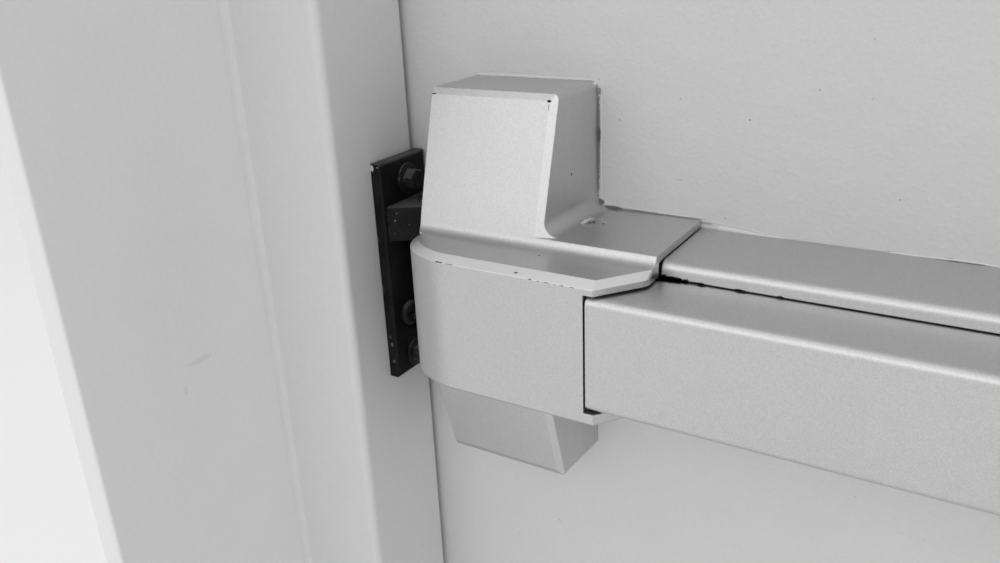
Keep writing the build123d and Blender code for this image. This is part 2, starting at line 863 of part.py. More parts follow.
def rail_section():
    """Section of the rail: a channel with two lips that hold the bar in."""
    half = (
        (0, 0),
        (0, rail_half),
        (-rail_depth, rail_half),
        (-rail_depth, rail_lip_half),
        (-rail_depth + rail_lip, rail_lip_half),
        (-rail_depth + rail_lip, rail_half - rail_wall),
        (-rail_back, rail_half - rail_wall),
        (-rail_back, 0),
    )
    face = make_face(Polyline(*half, close=True))
    face = fillet(face.vertices().filter_by(lambda v: v.X < -41 and v.Y > 28), 3.0)
    return face + mirror(face, Plane.XZ)


def touch_rail():
    """Extruded rail that lies on the leaf from the cover to the end cap."""
    rail = extrude(Plane.YZ.offset(rail_start) * rail_section(), rail_end - rail_start)
    for x, z in [*crank_screws_xz(), *guide_screws_xz]:
        rail -= drum_y(x, -9, 1, z, clear_radius)
    return at_device(rail)


def push_bar():
    """Touch bar: a channel whose hooked flanges slide behind the rail's lips."""
    half = (
        (-band_front, 0),
        (-band_front, bar_half),
        (-bar_back - hook, bar_half),
        (-bar_back - hook, hook_half),
        (-bar_back, hook_half),
        (-bar_back, bar_half - bar_wall),
        (-band_front + bar_front_wall, bar_half - bar_wall),
        (-band_front + bar_front_wall, 0),
    )
    face = make_face(Polyline(*half, close=True))
    face = fillet(face.vertices().filter_by(lambda v: v.X < -69 and v.Y > 21), bar_round)
    face += mirror(face, Plane.XZ)
    return at_device(extrude(Plane.YZ.offset(bar_start) * face, bar_end - bar_start))


def bar_end_plug(x0, x1, notched):
    """Moulded plug inside an end of the bar, notched where the pull rod passes."""
    inner = bar_half - bar_wall
    plug = block(x0, x1, -band_front + bar_front_wall, -bar_back - 4, -inner, inner)
    plug -= block(x0 + 2, x1 - 2, -band_front + bar_front_wall + 2.5, -bar_back, -inner + 2.5, inner - 2.5)
    if notched:
        notch = rod_radius + 1.5
        plug -= block(x0 - 1, x1 + 1, rod_y - notch, -bar_back + 1, -notch, notch)
    return at_device(plug)


def bar_lifter(place):
    """Angle inside the bar whose slotted web takes the crank's pin."""
    x0, x1 = place + 13, place + 34
    foot = block(x0, x1, -band_front + bar_front_wall, -band_front + bar_front_wall + 2, -8, 11.5)
    web = block(x0, x1, -band_front + bar_front_wall, -11, 9, 11.5)
    near, low = crank_point(place, bar_arm, 0)
    web -= slot_x(near - 0.4, place + bar_arm + 0.4, low, crank_pin_radius + slot_fit, 8, 13)
    return at_device(foot + web)


def crank_point(place, arm, turned):
    """Where the end of a crank's arm stands at rest: 0 for the bar's arm, -90 for the rod's."""
    angle = math.radians(crank_angle + turned)
    return place + arm * math.cos(angle), crank_y + arm * math.sin(angle)


def bell_crank(place):
    """Bell crank: a hub and a plate with a pin at the end of each arm."""
    form = drum_z(place, crank_y, -hub_half, hub_half, 6.0)
    for arm, turned, low, high in ((bar_arm, 0, 3, 12.5), (rod_arm, -90, -3, 7)):
        x, y = crank_point(place, arm, turned)
        length = math.hypot(x - place, y - crank_y)
        angle = math.degrees(math.atan2(y - crank_y, x - place))
        web = Pos(place, crank_y, 5) * Rot(0, 0, angle) * Pos(length / 2, 0, 0) * Box(length, 9, 4)
        form += web + drum_z(x, y, 3, 7, 4.5) + drum_z(x, y, low, high, crank_pin_radius)
    form -= drum_z(place, crank_y, -20, 20, crank_pin_radius + running_fit)
    return at_device(form)


def crank_bracket(place):
    """Bracket screwed through the rail, with two ears for a crank's pin."""
    base = block(place - 20, place + 20, -rail_back - bracket_sheet, -rail_back, -19, 19)
    ear = block(place - 8, place + 8, crank_y - 8, -rail_back, ear_inner, ear_outer)
    ear = fillet(ear.edges().filter_by(Axis.Z).group_by(Axis.Y)[0], 6.0)
    form = base + both(ear) - drum_z(place, crank_y, -20, 20, crank_pin_radius + press_fit)
    for dx in (-crank_screw_reach, crank_screw_reach):
        form -= drum_y(place + dx, -9, 1, 0, clear_radius)
    return at_device(form)


def crank_pins():
    """Headed pins of both cranks."""
    pins = []
    for place in crank_places.values():
        pin = drum_z(place, crank_y, -ear_outer - 1, ear_outer, crank_pin_radius)
        pins.append(at_device(pin + Pos(place, crank_y, ear_outer) * Cylinder(4.6, 1.6, align=rise)))
    return group(pins)


def flattened(x0, x1):
    """What is milled off the rod above and below one of its eyes."""
    near, deep = rod_y - 9, rod_y + 9
    return block(x0, x1, near, deep, eye_half, 9) + block(x0, x1, near, deep, -9, -eye_half)


def pull_rod():
    """Pull rod with a flat slotted eye at the latch and at each crank."""
    last = crank_point(crank_places["right"], rod_arm, -90)[0]
    rod = drum_x(eye_root, last, rod_y, 0, rod_radius)
    rod += block(eye_end, eye_root + 6, rod_y - 6, rod_y + 6, -eye_half, eye_half)
    rod += drum_z(eye_end, rod_y, -eye_half, eye_half, 6.0)
    rod -= flattened(eye_end - 9, eye_root)
    way = drive_x + rod_travel + slot_spare
    rod -= slot_x(drive_x - 0.05, way, rod_y, drive_pin_radius + running_fit, -3, 3)
    for place in crank_places.values():
        x, y = crank_point(place, rod_arm, -90)
        flat = block(x - 11, x + 11, rod_y - 7.5, rod_y + 7.5, -eye_half, eye_half)
        rod += fillet(flat.edges().filter_by(Axis.Z), 3.0)
        rod -= flattened(x - 10, x + 10)
        radius = crank_pin_radius + pin_slot
        low, high = crank_y - rod_arm - slot_spare, y + slot_spare
        rod -= block(x - radius, x + radius, low, high, -3, 3)
        rod -= drum_z(x, low, -3, 3, radius) + drum_z(x, high, -3, 3, radius)
    return at_device(rod)


def rod_collar():
    """Collar on the pull rod that its spring pushes against."""
    ring = drum_x(collar_x, collar_x + collar_width, rod_y, 0, 6.5)
    return at_device(ring - drum_x(collar_x - 1, collar_x + 9, rod_y, 0, rod_radius + press_fit))


def rod_guide():
    """Angle on the rail that guides the pull rod and stops its spring."""
    foot = block(guide_x, guide_x + 18, -rail_back - guide_sheet, -rail_back, -12, 12)
    web = block(guide_x, guide_x + guide_sheet, -59, -rail_back, -12, 12)
    web = fillet(web.edges().filter_by(Axis.X).group_by(Axis.Y)[0], 6.0)
    form = foot + web - drum_x(guide_x - 9, guide_x + 9, rod_y, 0, rod_radius + 0.1)
    for x, z in guide_screws_xz:
        form -= drum_y(x, -9, 1, z, clear_radius)
    return at_device(form)


def end_bracket():
    """Bracket under the far end of the device, with ears for the end cap's screws."""
    outer = rail_half - cover_wall
    base = block(641, 688, -rail_back, 0, -outer, outer)
    ear = block(650, 672, -32, 0, outer - 3, outer)
    form = base + both(ear)
    for sign in (1, -1):
        form -= end_cap_screw(sign, thread_fit)
    for x, z in end_screws_xz:
        form -= drum_y(x, -9, 1, z, clear_radius)
    return at_device(form)


def end_cap_form(inset):
    """Solid form of the end cap, or of its hollow."""
    front = -band_front + inset
    right = cap_end - inset
    corner = cap_round - inset
    turn = right - corner * (1 - math.sqrt(0.5)), front + corner * (1 - math.sqrt(0.5))
    left = rail_end + 0.4 - inset
    path = Polyline((right, 1), (left, 1), (left, front), (right - corner, front))
    path += ThreePointArc((right - corner, front), turn, (right, front + corner))
    path += Line((right, front + corner), (right, 1))
    half = rail_half - inset
    return extrude(Pos(0, 0, -half) * make_face(path), 2 * half)


def end_cap():
    """Cast cap over the far end of the device."""
    form = end_cap_form(0)
    for pick in (-1, 0):
        face = form.faces().sort_by(Axis.Z)[pick]
        rim = [edge for edge in face.edges() if edge.center().Y < -20 and edge.center().X > rail_end + 3]
        form = chamfer(rim, ledge_bevel, ledge_half - band_half, reference=face)
    form -= end_cap_form(cover_wall)
    form -= block(600, 700, 0, 5, -99, 99)
    for sign in (1, -1):
        form -= end_cap_screw(sign, thread_fit)
    return at_device(form)


def end_cap_screw(sign, grow=0.0):
    """Countersunk screw of the end cap."""
    screw = Pos(cap_screw_x - cover_screw_x, 0, rail_half - arm_half) * cover_screw(1, grow)
    return screw if sign > 0 else mirror(screw, Plane.XY)


def crank_screws_xz():
    """Screws through the crank brackets, as (X, Z) of the device."""
    reaches = (-crank_screw_reach, crank_screw_reach)
    return [(place + dx, 0.0) for place in crank_places.values() for dx in reaches]


def device_screw_places():
    """All the screws that hold the device to the leaf, as (X, Z) of the row."""
    places = list(chassis_screws_xz + guide_screws_xz + end_screws_xz) + crank_screws_xz()
    return [(device_x + x, device_z + z) for x, z in places]


def device_screws():
    """Pan-head screws that hold the device to the leaf."""
    seats = (
        (chassis_screws_xz, rail_back),
        (crank_screws_xz(), rail_back + bracket_sheet),
        (guide_screws_xz, rail_back + guide_sheet),
        (end_screws_xz, rail_back),
    )
    head = Cylinder(5.5, 1.8, align=rise) + Pos(0, 0, 1.8) * Cone(5.5, 4.1, 1.4, align=rise)
    screws = []
    for places, seat in seats:
        shank = Rot(180, 0, 0) * Cylinder(screw_radius, seat + 9, align=rise)
        screws += [at_device(Pos(x, -seat, z) * Rot(90, 0, 0) * (head + shank)) for x, z in places]
    return group(screws)


def all_nodes():
    """Every node of the part, by name."""
    nodes = {
        "strike_jamb": strike_jamb(),
        "hinge_jamb": hinge_jamb(),
        "frame_head": frame_head(),
        "frame_hinge_backers": frame_hinge_backers(),
        "jamb_anchors": jamb_anchors(),
        "floor_clips": floor_clips(),
        "door_silencers": door_silencers(),
        "reveal_left": reveal_side(-1),
        "reveal_right": reveal_side(1),
        "reveal_head": reveal_head(),
        "corner_bead": corner_bead(),
        "hinge_frame_screws": hinge_screws(1),
        "strike_plate": strike_plate(),
        "strike_backer": strike_backer(),
        "strike_roller": strike_roller(),
        "roller_pin": roller_pin(),
        "strike_screws": strike_screws(),
        "leaf_inner_skin": leaf_inner_skin(),
        "leaf_outer_skin": leaf_outer_skin(),
        "leaf_top_channel": leaf_cap_channel(leaf_top, leaf_top - channel_leg),
        "leaf_bottom_channel": leaf_cap_channel(floor_gap, floor_gap + channel_leg),
        "leaf_lock_channel": leaf_edge_channel(-1),
        "leaf_hinge_channel": leaf_edge_channel(1),
        "leaf_hinge_backers": leaf_hinge_backers(),
        "device_backers": device_backers(),
        "leaf_core": leaf_core(),
        "hinge_leaf_screws": hinge_screws(-1),
        "latch_chassis": latch_chassis(),
        "latch_cover": latch_cover(),
        "cover_screws": cover_screws(),
        "latch_bolt": latch_bolt(),
        "latch_guide_pins": latch_guide_pins(),
        "latch_spring": latch_spring(),
        "touch_rail": touch_rail(),
        "push_bar": push_bar(),
        "bar_end_plug_left": bar_end_plug(bar_start, bar_start + 8, True),
        "bar_end_plug_right": bar_end_plug(bar_end - 8, bar_end, False),
        "crank_pins": crank_pins(),
        "pull_rod": pull_rod(),
        "rod_collar": rod_collar(),
        "rod_guide": rod_guide(),
        "bar_spring": bar_spring(),
        "end_bracket": end_bracket(),
        "end_cap": end_cap(),
        "device_screws": device_screws(),
    }
    for place, height in hinge_heights.items():
        nodes[f"hinge_{place}_frame_leaf"] = hinge_leaf(height, 1)
        nodes[f"hinge_{place}_door_leaf"] = hinge_leaf(height, -1)
        nodes[f"hinge_{place}_pin"] = hinge_pin(height)
    for name, place in crank_places.items():
        nodes[f"bell_crank_{name}"] = bell_crank(place)
        nodes[f"crank_bracket_{name}"] = crank_bracket(place)
        nodes[f"bar_lifter_{name}"] = bar_lifter(place)
    return nodes


if __name__ == "__main__":
    os.makedirs("parts", exist_ok=True)
    for name, shape in all_nodes().items():
        export_step(shape, f"parts/{name}.step")
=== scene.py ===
"""Looks of an exit door: paint, powder coat, screws and springs, and the paint along its touch-bar device."""

import json
import math
from collections import namedtuple

import bmesh
import bpy
from mathutils import Matrix, Vector

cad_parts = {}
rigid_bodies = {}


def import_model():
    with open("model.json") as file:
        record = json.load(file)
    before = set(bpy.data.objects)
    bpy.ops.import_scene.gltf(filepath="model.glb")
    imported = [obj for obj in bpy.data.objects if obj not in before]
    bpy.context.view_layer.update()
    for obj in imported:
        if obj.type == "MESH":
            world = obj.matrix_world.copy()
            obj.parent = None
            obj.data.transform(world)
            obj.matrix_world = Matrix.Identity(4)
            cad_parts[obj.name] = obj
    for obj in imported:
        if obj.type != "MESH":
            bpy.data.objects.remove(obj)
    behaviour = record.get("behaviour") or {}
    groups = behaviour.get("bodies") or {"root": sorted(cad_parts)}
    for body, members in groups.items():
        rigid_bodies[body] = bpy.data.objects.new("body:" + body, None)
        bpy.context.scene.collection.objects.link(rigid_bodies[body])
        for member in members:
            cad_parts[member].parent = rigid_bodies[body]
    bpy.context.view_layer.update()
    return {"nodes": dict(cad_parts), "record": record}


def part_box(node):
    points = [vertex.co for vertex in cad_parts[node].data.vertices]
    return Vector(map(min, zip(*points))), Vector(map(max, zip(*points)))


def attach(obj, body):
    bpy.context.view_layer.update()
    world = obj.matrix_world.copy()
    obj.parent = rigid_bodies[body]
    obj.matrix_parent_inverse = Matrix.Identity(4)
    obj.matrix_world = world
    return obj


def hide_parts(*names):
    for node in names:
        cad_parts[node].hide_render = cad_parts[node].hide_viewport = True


bl_info = {
    "name": "Exit door looks",
    "version": (1, 0, 0),
    "blender": (4, 5, 0),
    "location": "View3D > Sidebar > Exit door",
    "description": "Dresses a packed exit door with paint, powder coat, screws and springs",
    "category": "Object",
}

for leftover in list(bpy.data.objects):
    bpy.data.objects.remove(leftover)
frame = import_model()

MM = 0.001
# The device's own origin: the end of the cover's arm, on the bar's centreline, in the leaf's push face.
DEVICE = Vector((-0.308, 0.0, 1.0))

# The photograph's camera: its directions in the row frame, its place, and its lens.
CAMERA_RIGHT = Vector((0.85193022, 0.52200887, -0.04149262))
CAMERA_DOWN = Vector((0.16105074, -0.33658426, -0.92777891))
CAMERA_FORWARD = Vector((-0.49827459, 0.78372047, -0.37081621))
CAMERA_PLACE = Vector((-0.2027, -0.3134, 1.1375))
CAMERA_LENS = {"lens": 31.26, "sensor_width": 36.0, "clip_start": 0.01, "clip_end": 60.0}

# The floor disc's radius, and how far its face lies under the door.
FLOOR_RADIUS = 40.0
FLOOR_DROP = 0.0005
FLOOR_SIDES = 96
# Softboxes: place, target, width and height, and the setting that holds the power.
SOFTBOXES = {
    "front_softbox": ((-0.3, -5.6, 3.4), (-0.2, 0.0, 1.2), (9.0, 4.6), "front_power"),
    "back_softbox": ((0.4, 5.6, 3.4), (0.0, 0.0, 1.2), (9.0, 4.6), "back_power"),
    "top_softbox": ((-1.7, -0.35, 3.3), (-0.3, 0.0, 1.1), (3.6, 3.6), "top_power"),
}

# Tones that the finishes show in places: specks, grime with painted shade in corners, dust with painted
# light on faces that point up, bare metal, a painted highlight on the ledge bevel, and the painted shade in
# the open cells and the fibres of the leaf's filling.
PAINT_SPECK = 0.16
PAINT_DIRT_AND_SHADE = 0.09
SILVER_DIRT_AND_SHADE = 0.03
BLACK_DUST_AND_TOP_LIGHT = 0.16
BARE_STEEL = 0.2
BRIGHT_EDGE = 0.78
LEDGE_HIGHLIGHT_TONE = 0.92
CELL_SHADE = 0.12
FIBRE = 0.2
FLOOR_DUST = 0.6
# How much the painted highlight on the ledge bevel covers, and between which upward slants of a face it lies.
LEDGE_HIGHLIGHT_COVER = 0.85
LEDGE_HIGHLIGHT_SLANT = (0.5, 0.95)
# Paper of the leaf's filling.
PAPER_COLOUR = (0.62, 0.5, 0.34)
# Rays that each round or shaded edge takes.
EDGE_SAMPLES = 4

# Grain of steel, drawn out along the axis that has the smallest factor.
EVEN_GRAIN = (1.0, 1.0, 1.0)
UPRIGHT_GRAIN = (1.0, 1.0, 0.05)
LOOSE_GRAIN = (1.0, 1.0, 0.4)
LENGTHWISE_GRAIN = (0.1, 1.0, 1.0)

# Skins of paint: how much their tone and height vary, how rough they are, and how much grime and painted
# shade they take in corners.
Film = namedtuple("Film", "mottle peel_scale peel_height brush_marks roughness dirt")
FRAME_FILM = Film(0.05, 420.0, 0.00003, 1.2, 0.4, 0.35)
LINING_FILM = Film(0.06, 520.0, 0.00002, 0.7, 0.44, 0.3)
SEALANT_FILM = Film(0.12, 190.0, 0.0003, 0.3, 0.5, 0.2)
LEAF_FILM = Film(0.1, 560.0, 0.0002, 0.3, 0.42, 0.0)
BEAD_FILM = Film(0.1, 560.0, 0.00005, 0.0, 0.42, 0.0)

# Outlines of screw heads in shares of their radius and height, where the top is 0, and their sides.
SCREW_HEADS = {
    "countersunk": (((0.47, -1.0), (1.0, -0.08), (1.0, 0.0)), 32),
    "pan": (((1.0, -1.0), (1.0, -0.52), (0.95, -0.26), (0.82, -0.08), (0.62, 0.0)), 32),
    "washer": (((1.0, -1.0), (1.0, -0.87), (0.74, -0.77), (0.66, -0.76)), 36),
    "hexagon": (((0.71, -0.9), (0.71, -0.13), (0.64, -0.03), (0.56, 0.0)), 6),
    "dish": (((0.26, -0.14), (0.46, 0.01)), 24),
}
RIGHT = Vector((1.0, 0.0, 0.0))
FRONT = Vector((0.0, -1.0, 0.0))
# Screws of a CAD node: kind, where the head faces, the setting that holds its radius, and the head's height
# and the shank's radius in millimetres. The cover's screws face up or down.
SCREWS = {
    "cover_screws": [("countersunk", None, "cover_head", 2.4, 2.2)],
    "hinge_frame_screws": [("countersunk", -RIGHT, "hinge_head", 2.6, 2.6)],
    "hinge_leaf_screws": [("countersunk", RIGHT, "hinge_head", 2.6, 2.6)],
    "device_screws": [("pan", FRONT, "pan_head", 3.2, 3.0)],
    "strike_screws": [("hexagon", RIGHT, "washer", 6.2, 3.0), ("pan", RIGHT, "lock_head", 2.6, 3.0)],
}
# Depth of a cross recess as a share of its head's height, and length and width of its arms by the radius.
RECESS_SHARE = 0.62
RECESS_ARMS = ((1.12, 0.24), (0.24, 1.12))
# A shank: its length in metres before it is stretched, its start as a share of the head's height where the
# top is 0, its core as a share of its radius, and the end of its thread and the thread's length as shares
# of its own length.
SHANK_LENGTH = 0.01
SHANK_START = -0.98
CORE_SHARE = 0.84
THREAD_END = -0.92
THREAD_LENGTH = 0.88
TIP_SHARE = 0.5
# Sides of what is drawn round: a shank, its thread, a spring's wire and a paint bead, and steps in each turn
# of a thread and of a spring.
SHANK_SIDES = 14
THREAD_SIDES = 3
WIRE_SIDES = 8
BEAD_SIDES = 10
THREAD_STEPS = 11
COIL_STEPS = 28

# Height of a spring's coil at two shares of its turns, so that the turns at its ends lie close.
CLOSED_ENDS = ((0.12, 0.035), (0.88, 0.965))

# Angles in degrees past which an edge of a screw or spring, and of a paint bead, is drawn sharp.
CREASE = 38.0
BEAD_CREASE = 60.0

# Chips and scratches on the device: place on the device and half size in millimetres, and tone.
COVER_MARKS = (
    ((-48.9, -31.9, 80.0), (0.9, 0.9, 0.6), 0.02),
    ((-48.7, -32.5, 77.8), (0.2, 1.0, 1.4), 0.2),
    ((-51.4, -18.2, 82.5), (0.4, 0.7, 0.5), 0.05),
    ((-45.1, -21.7, 50.3), (0.8, 0.6, 0.6), 0.02),
    ((-100.8, -31.9, 80.0), (1.3, 0.6, 0.3), 0.04),
    ((-42.6, -53.1, 27.7), (0.4, 0.5, 0.4), 0.05),
    ((-47.6, -42.2, 43.2), (0.3, 0.4, 0.4), 0.05),
    ((-47.4, -43.0, 40.4), (0.3, 0.4, 0.3), 0.08),
    ((-47.8, -43.9, 37.1), (0.3, 0.4, 0.3), 0.08),
    ((-77.0, -69.9, 25.35), (2.9, 0.5, 0.22), 0.02),
    ((-71.5, -70.0, 25.3), (2.6, 0.4, 0.12), 0.12),
    ((-43.5, -68.5, 26.2), (1.0, 0.5, 0.4), 0.2),
    ((-37.0, -70.0, 25.2), (1.0, 0.4, 0.16), 0.06),
    ((-34.0, -70.0, 25.1), (0.6, 0.4, 0.14), 0.08),
    ((-30.6, -70.0, 25.1), (1.2, 0.4, 0.16), 0.06),
    ((-27.4, -70.0, 25.1), (0.5, 0.4, 0.14), 0.08),
    ((-24.6, -70.0, 25.1), (0.9, 0.4, 0.16), 0.06),
    ((-20.6, -70.0, 25.1), (1.1, 0.4, 0.15), 0.08),
    ((-45.2, -1.0, 81.6), (0.7, 2.6, 0.9), 0.95),
    ((-37.6, -19.8, 31.3), (5.4, 5.4, 0.6), 0.95),
    ((-42.4, -19.6, 31.3), (0.9, 0.9, 0.7), 0.02),
    ((-32.7, -20.0, 31.3), (0.8, 0.8, 0.7), 0.02),
)
# Lowest and highest heights of the bevel along the cover's ledge, in millimetres, where a highlight is
# painted.
LEDGE_BEVEL = (25.1, 27.75)
STRIKE_MARKS = (
    ((-136.0, -33.0, 46.4), (1.3, 0.8, 1.6), 0.5),
    ((-132.6, -33.0, 47.0), (0.7, 0.6, 0.4), 0.16),
    ((-133.9, -33.0, -37.4), (0.8, 0.6, 1.2), 0.12),
    ((-134.6, -33.0, -33.6), (0.6, 0.5, 0.8), 0.09),
    ((-133.6, -33.0, -46.0), (0.8, 0.6, 1.0), 0.1),
    ((-136.2, -33.0, -10.0), (0.7, 0.6, 3.0), 0.06),
    ((-136.2, -33.0, 14.0), (0.6, 0.6, 2.0), 0.07),
    ((-128.4, -29.5, 22.6), (0.5, 0.5, 0.5), 0.16),
    ((-127.6, -29.0, 26.0), (0.4, 0.4, 0.4), 0.12),
    ((-123.0, -26.5, 20.5), (0.4, 0.4, 0.4), 0.12),
    ((-128.8, -30.0, 16.4), (0.4, 0.4, 0.5), 0.14),
)
# Painted shade for the dark opening at the left end of the rail, laid on the rail's lip and on the bar's top.
GAP_PAINTED_SHADE = ((0.0, -42.0, 22.4), (13.0, 3.6, 1.3), 0.01)
RAIL_MARKS = (
    GAP_PAINTED_SHADE,
    ((14.7, -42.0, 22.6), (1.6, 0.5, 0.35), 0.05),
    ((28.7, -42.0, 22.6), (2.0, 0.5, 0.35), 0.05),
    ((42.1, -42.0, 22.6), (1.2, 0.5, 0.35), 0.06),
)
BAR_MARKS = (
    GAP_PAINTED_SHADE,
    ((15.4, -42.9, 22.0), (1.6, 0.8, 0.5), 0.05),
    ((29.4, -42.7, 22.0), (2.0, 0.6, 0.5), 0.06),
)
# Marks on the leaf: X and Z on the device and half sizes in millimetres, tone and strength.
LEAF_MARKS = (
    (-44.0, 58.0, 0.75, 25.0, 0.06, 0.75),
    (-43.7, 61.0, 0.7, 4.0, 0.06, 0.85),
    (-43.4, 78.5, 0.8, 1.6, 0.1, 0.7),
    (-43.0, 33.4, 1.9, 1.7, 0.05, 0.85),
    (-37.5, 31.8, 4.5, 0.8, 0.06, 0.85),
    (-26.0, 31.5, 12.0, 0.55, 0.08, 0.7),
    (-8.0, 31.5, 10.0, 0.45, 0.08, 0.6),
    # Painted shadow at the end of the arm.
    (2.0, 30.2, 3.0, 0.5, 0.1, 0.5),
    (12.0, 28.3, 6.0, 0.45, 0.14, 0.5),
    (70.5, 28.4, 5.0, 0.5, 0.1, 0.6),
    (88.0, 28.6, 3.0, 0.8, 0.1, 0.65),
    (96.0, 28.4, 4.5, 0.4, 0.12, 0.6),
    (16.3, 71.4, 0.4, 0.4, 0.1, 0.6),
    (39.7, 83.3, 0.4, 0.4, 0.1, 0.6),
    (-9.3, 46.3, 1.6, 0.3, 0.2, 0.35),
    (69.4, 47.6, 0.5, 0.4, 0.15, 0.5),
    (-34.8, 67.9, 0.4, 0.5, 0.15, 0.45),
    (-65.0, -133.3, 0.5, 0.5, 0.1, 0.6),
)
LINING_MARKS = (
    ((-186.0, -98.9, -27.4), (3.0, 8.0, 1.3), 0.3, 0.14),
    ((-186.0, -108.6, -37.6), (3.0, 1.2, 2.2), 0.25, 0.12),
)

# Paint beads on the leaf: radius, flatness and wander in millimetres, and path as device X and Z.
PAINT_BEADS = {
    "head_paint_ridge": (
        (0.75, 0.7, 0.15),
        ((-102.6, 82.0), (-101.6, 82.9), (-75.0, 83.0), (-47.0, 82.9), (-43.6, 81.8)),
    ),
    "head_paint_line": ((0.16, 1.0, 0.25), ((-98.0, 84.9), (-88.0, 84.8), (-66.0, 84.2), (-52.0, 83.9))),
    "head_paint_side": (
        (0.24, 0.5, 0.3),
        ((-43.0, 80.0), (-42.7, 70.0), (-42.9, 56.0), (-42.8, 42.0), (-42.2, 36.0)),
    ),
    "arm_paint_ridge": (
        (0.26, 0.8, 0.15),
        ((-41.0, 33.6), (-36.0, 32.6), (-25.0, 32.2), (-13.0, 32.0), (-1.0, 31.9)),
    ),
    "rail_paint_line": (
        (0.25, 1.2, 0.2),
        ((2.0, 31.2), (10.0, 30.6), (20.0, 29.7), (30.0, 28.6), (36.0, 27.9)),
    ),
    "rail_paint_patch": (
        (1.4, 0.4, 0.3),
        ((5.0, 28.9), (12.0, 28.6), (20.0, 27.9), (28.0, 27.2), (36.0, 26.6)),
    ),
    "rail_paint_trace": (
        (0.14, 1.0, 0.3),
        ((35.0, 28.6), (42.0, 29.4), (52.0, 29.5), (60.0, 29.2), (68.0, 28.4)),
    ),
    "rail_paint_edge": (
        (0.4, 0.9, 0.3),
        ((66.0, 28.4), (80.0, 28.6), (92.0, 28.9), (104.0, 28.5), (126.0, 28.4)),
    ),
}


def device_point(x, y, z):
    """A point of the device in millimetres, as a place in the row frame."""
    return DEVICE + Vector((x, y, z)) * MM


# Shader nodes


def plug(tree, value, socket):
    """Links a socket, or sets its value."""
    if isinstance(value, bpy.types.NodeSocket):
        tree.links.new(value, socket)
    else:
        socket.default_value = value


def wired(tree, sockets, values):
    """Links or sets several sockets by name."""
    for key, value in values.items():
        plug(tree, value, sockets[key])


def node(tree, kind, inputs=None, **settings):
    """A node with its settings, each input given as a value or as another node's output."""
    made = tree.nodes.new(kind)
    for key, value in settings.items():
        setattr(made, key, value)
    wired(tree, made.inputs, inputs or {})
    return made


def output(tree, kind, inputs=None, **settings):
    """What a new node puts out first."""
    return node(tree, kind, inputs, **settings).outputs[0]


def maths(tree, operation, first, second=0.0, third=0.0):
    """Result of a sum on numbers."""
    return output(tree, "ShaderNodeMath", {0: first, 1: second, 2: third}, operation=operation)


def times(tree, first, second):
    """Two numbers multiplied."""
    return maths(tree, "MULTIPLY", first, second)


def varied(tree, pattern, amount, middle):
    """A number that a pattern between 0 and 1 moves up and down about its middle."""
    return maths(tree, "MULTIPLY_ADD", maths(tree, "SUBTRACT", pattern, 0.5), amount, middle)


def vectors(tree, operation, first, second=(0, 0, 0)):
    """Result of a sum on vectors."""
    made = node(tree, "ShaderNodeVectorMath", {0: first, 1: second}, operation=operation)
    return made.outputs["Value" if operation in ("LENGTH", "DOT_PRODUCT") else "Vector"]


def scaled(tree, vector, factor):
    """A vector or a colour multiplied by a number."""
    return output(tree, "ShaderNodeVectorMath", {0: vector, "Scale": factor}, operation="SCALE")


def combined(tree, x=0.0, y=0.0, z=0.0):
    """A vector from its three parts."""
    return output(tree, "ShaderNodeCombineXYZ", {"X": x, "Y": y, "Z": z})


def parted(tree, vector):
    """The three parts of a vector."""
    return node(tree, "ShaderNodeSeparateXYZ", {0: vector}).outputs


def mixed(tree, share, first, second):
    """A colour between two others."""
    return node(tree, "ShaderNodeMix", {0: share, 6: first, 7: second}, data_type="RGBA").outputs[2]


def span(tree, value, low, high, to_low=0.0, to_high=1.0):
    """A value carried smoothly from one range to another, and held at its ends."""
    inputs = {"Value": value, "From Min": low, "From Max": high, "To Min": to_low, "To Max": to_high}
    return output(tree, "ShaderNodeMapRange", inputs, interpolation_type="SMOOTHSTEP")


def noise(tree, scale, detail=2.0, roughness=0.5, where=None):
    """Noise between 0 and 1, at object coordinates unless it is given others."""
    inputs = {"Vector": where or object_place(tree), "Scale": scale, "Detail": detail, "Roughness": roughness}
    return output(tree, "ShaderNodeTexNoise", inputs)


def cells(tree, scale):
    """A pattern of cells: how far away their middles are, and three random numbers for each cell."""
    made = node(tree, "ShaderNodeTexVoronoi", {"Vector": object_place(tree), "Scale": scale}).outputs
    return made["Distance"], node(tree, "ShaderNodeSeparateColor", {0: made["Color"]}).outputs


def object_place(tree):
    """Object coordinates."""
    return node(tree, "ShaderNodeTexCoord").outputs["Object"]


def surface_normal(tree):
    """Normal of the true surface."""
    return node(tree, "ShaderNodeNewGeometry").outputs["Normal"]


def eased(tree, radius):
    """Normal that turns smoothly round sharp edges."""
    return output(tree, "ShaderNodeBevel", {"Radius": radius}, samples=EDGE_SAMPLES)


def relief(tree, height, distance, edge_radius=None):
    """Normal of a surface with a height pattern, and with eased edges where a radius is given."""
    inputs = {"Strength": 1.0, "Distance": distance, "Height": height}
    if edge_radius is not None:
        inputs["Normal"] = eased(tree, edge_radius)
    return output(tree, "ShaderNodeBump", inputs)


def add_input(tree, label, default):
    """A named input of a tree, of the kind that its default has."""
    if isinstance(default, tuple):
        kind = "Color" if len(default) == 4 else "Vector"
    else:
        kind = "Int" if isinstance(default, int) else "Float"
    socket = tree.interface.new_socket(name=label, in_out="INPUT", socket_type="NodeSocket" + kind)
    socket.default_value = default


def group_tree(name):
    """One of the shared groups as a tree, with what its maker returns as its outputs."""
    maker, inputs = GROUP_MAKERS[name]
    tree = bpy.data.node_groups.new(name, "ShaderNodeTree")
    for label, default in inputs.items():
        add_input(tree, label, default)
    made = maker(tree, tree.nodes.new("NodeGroupInput").outputs)
    for label in made:
        kind = "NodeSocket" + OUTPUT_KINDS[label]
        tree.interface.new_socket(name=label, in_out="OUTPUT", socket_type=kind)
    wired(tree, tree.nodes.new("NodeGroupOutput").inputs, made)
    return tree


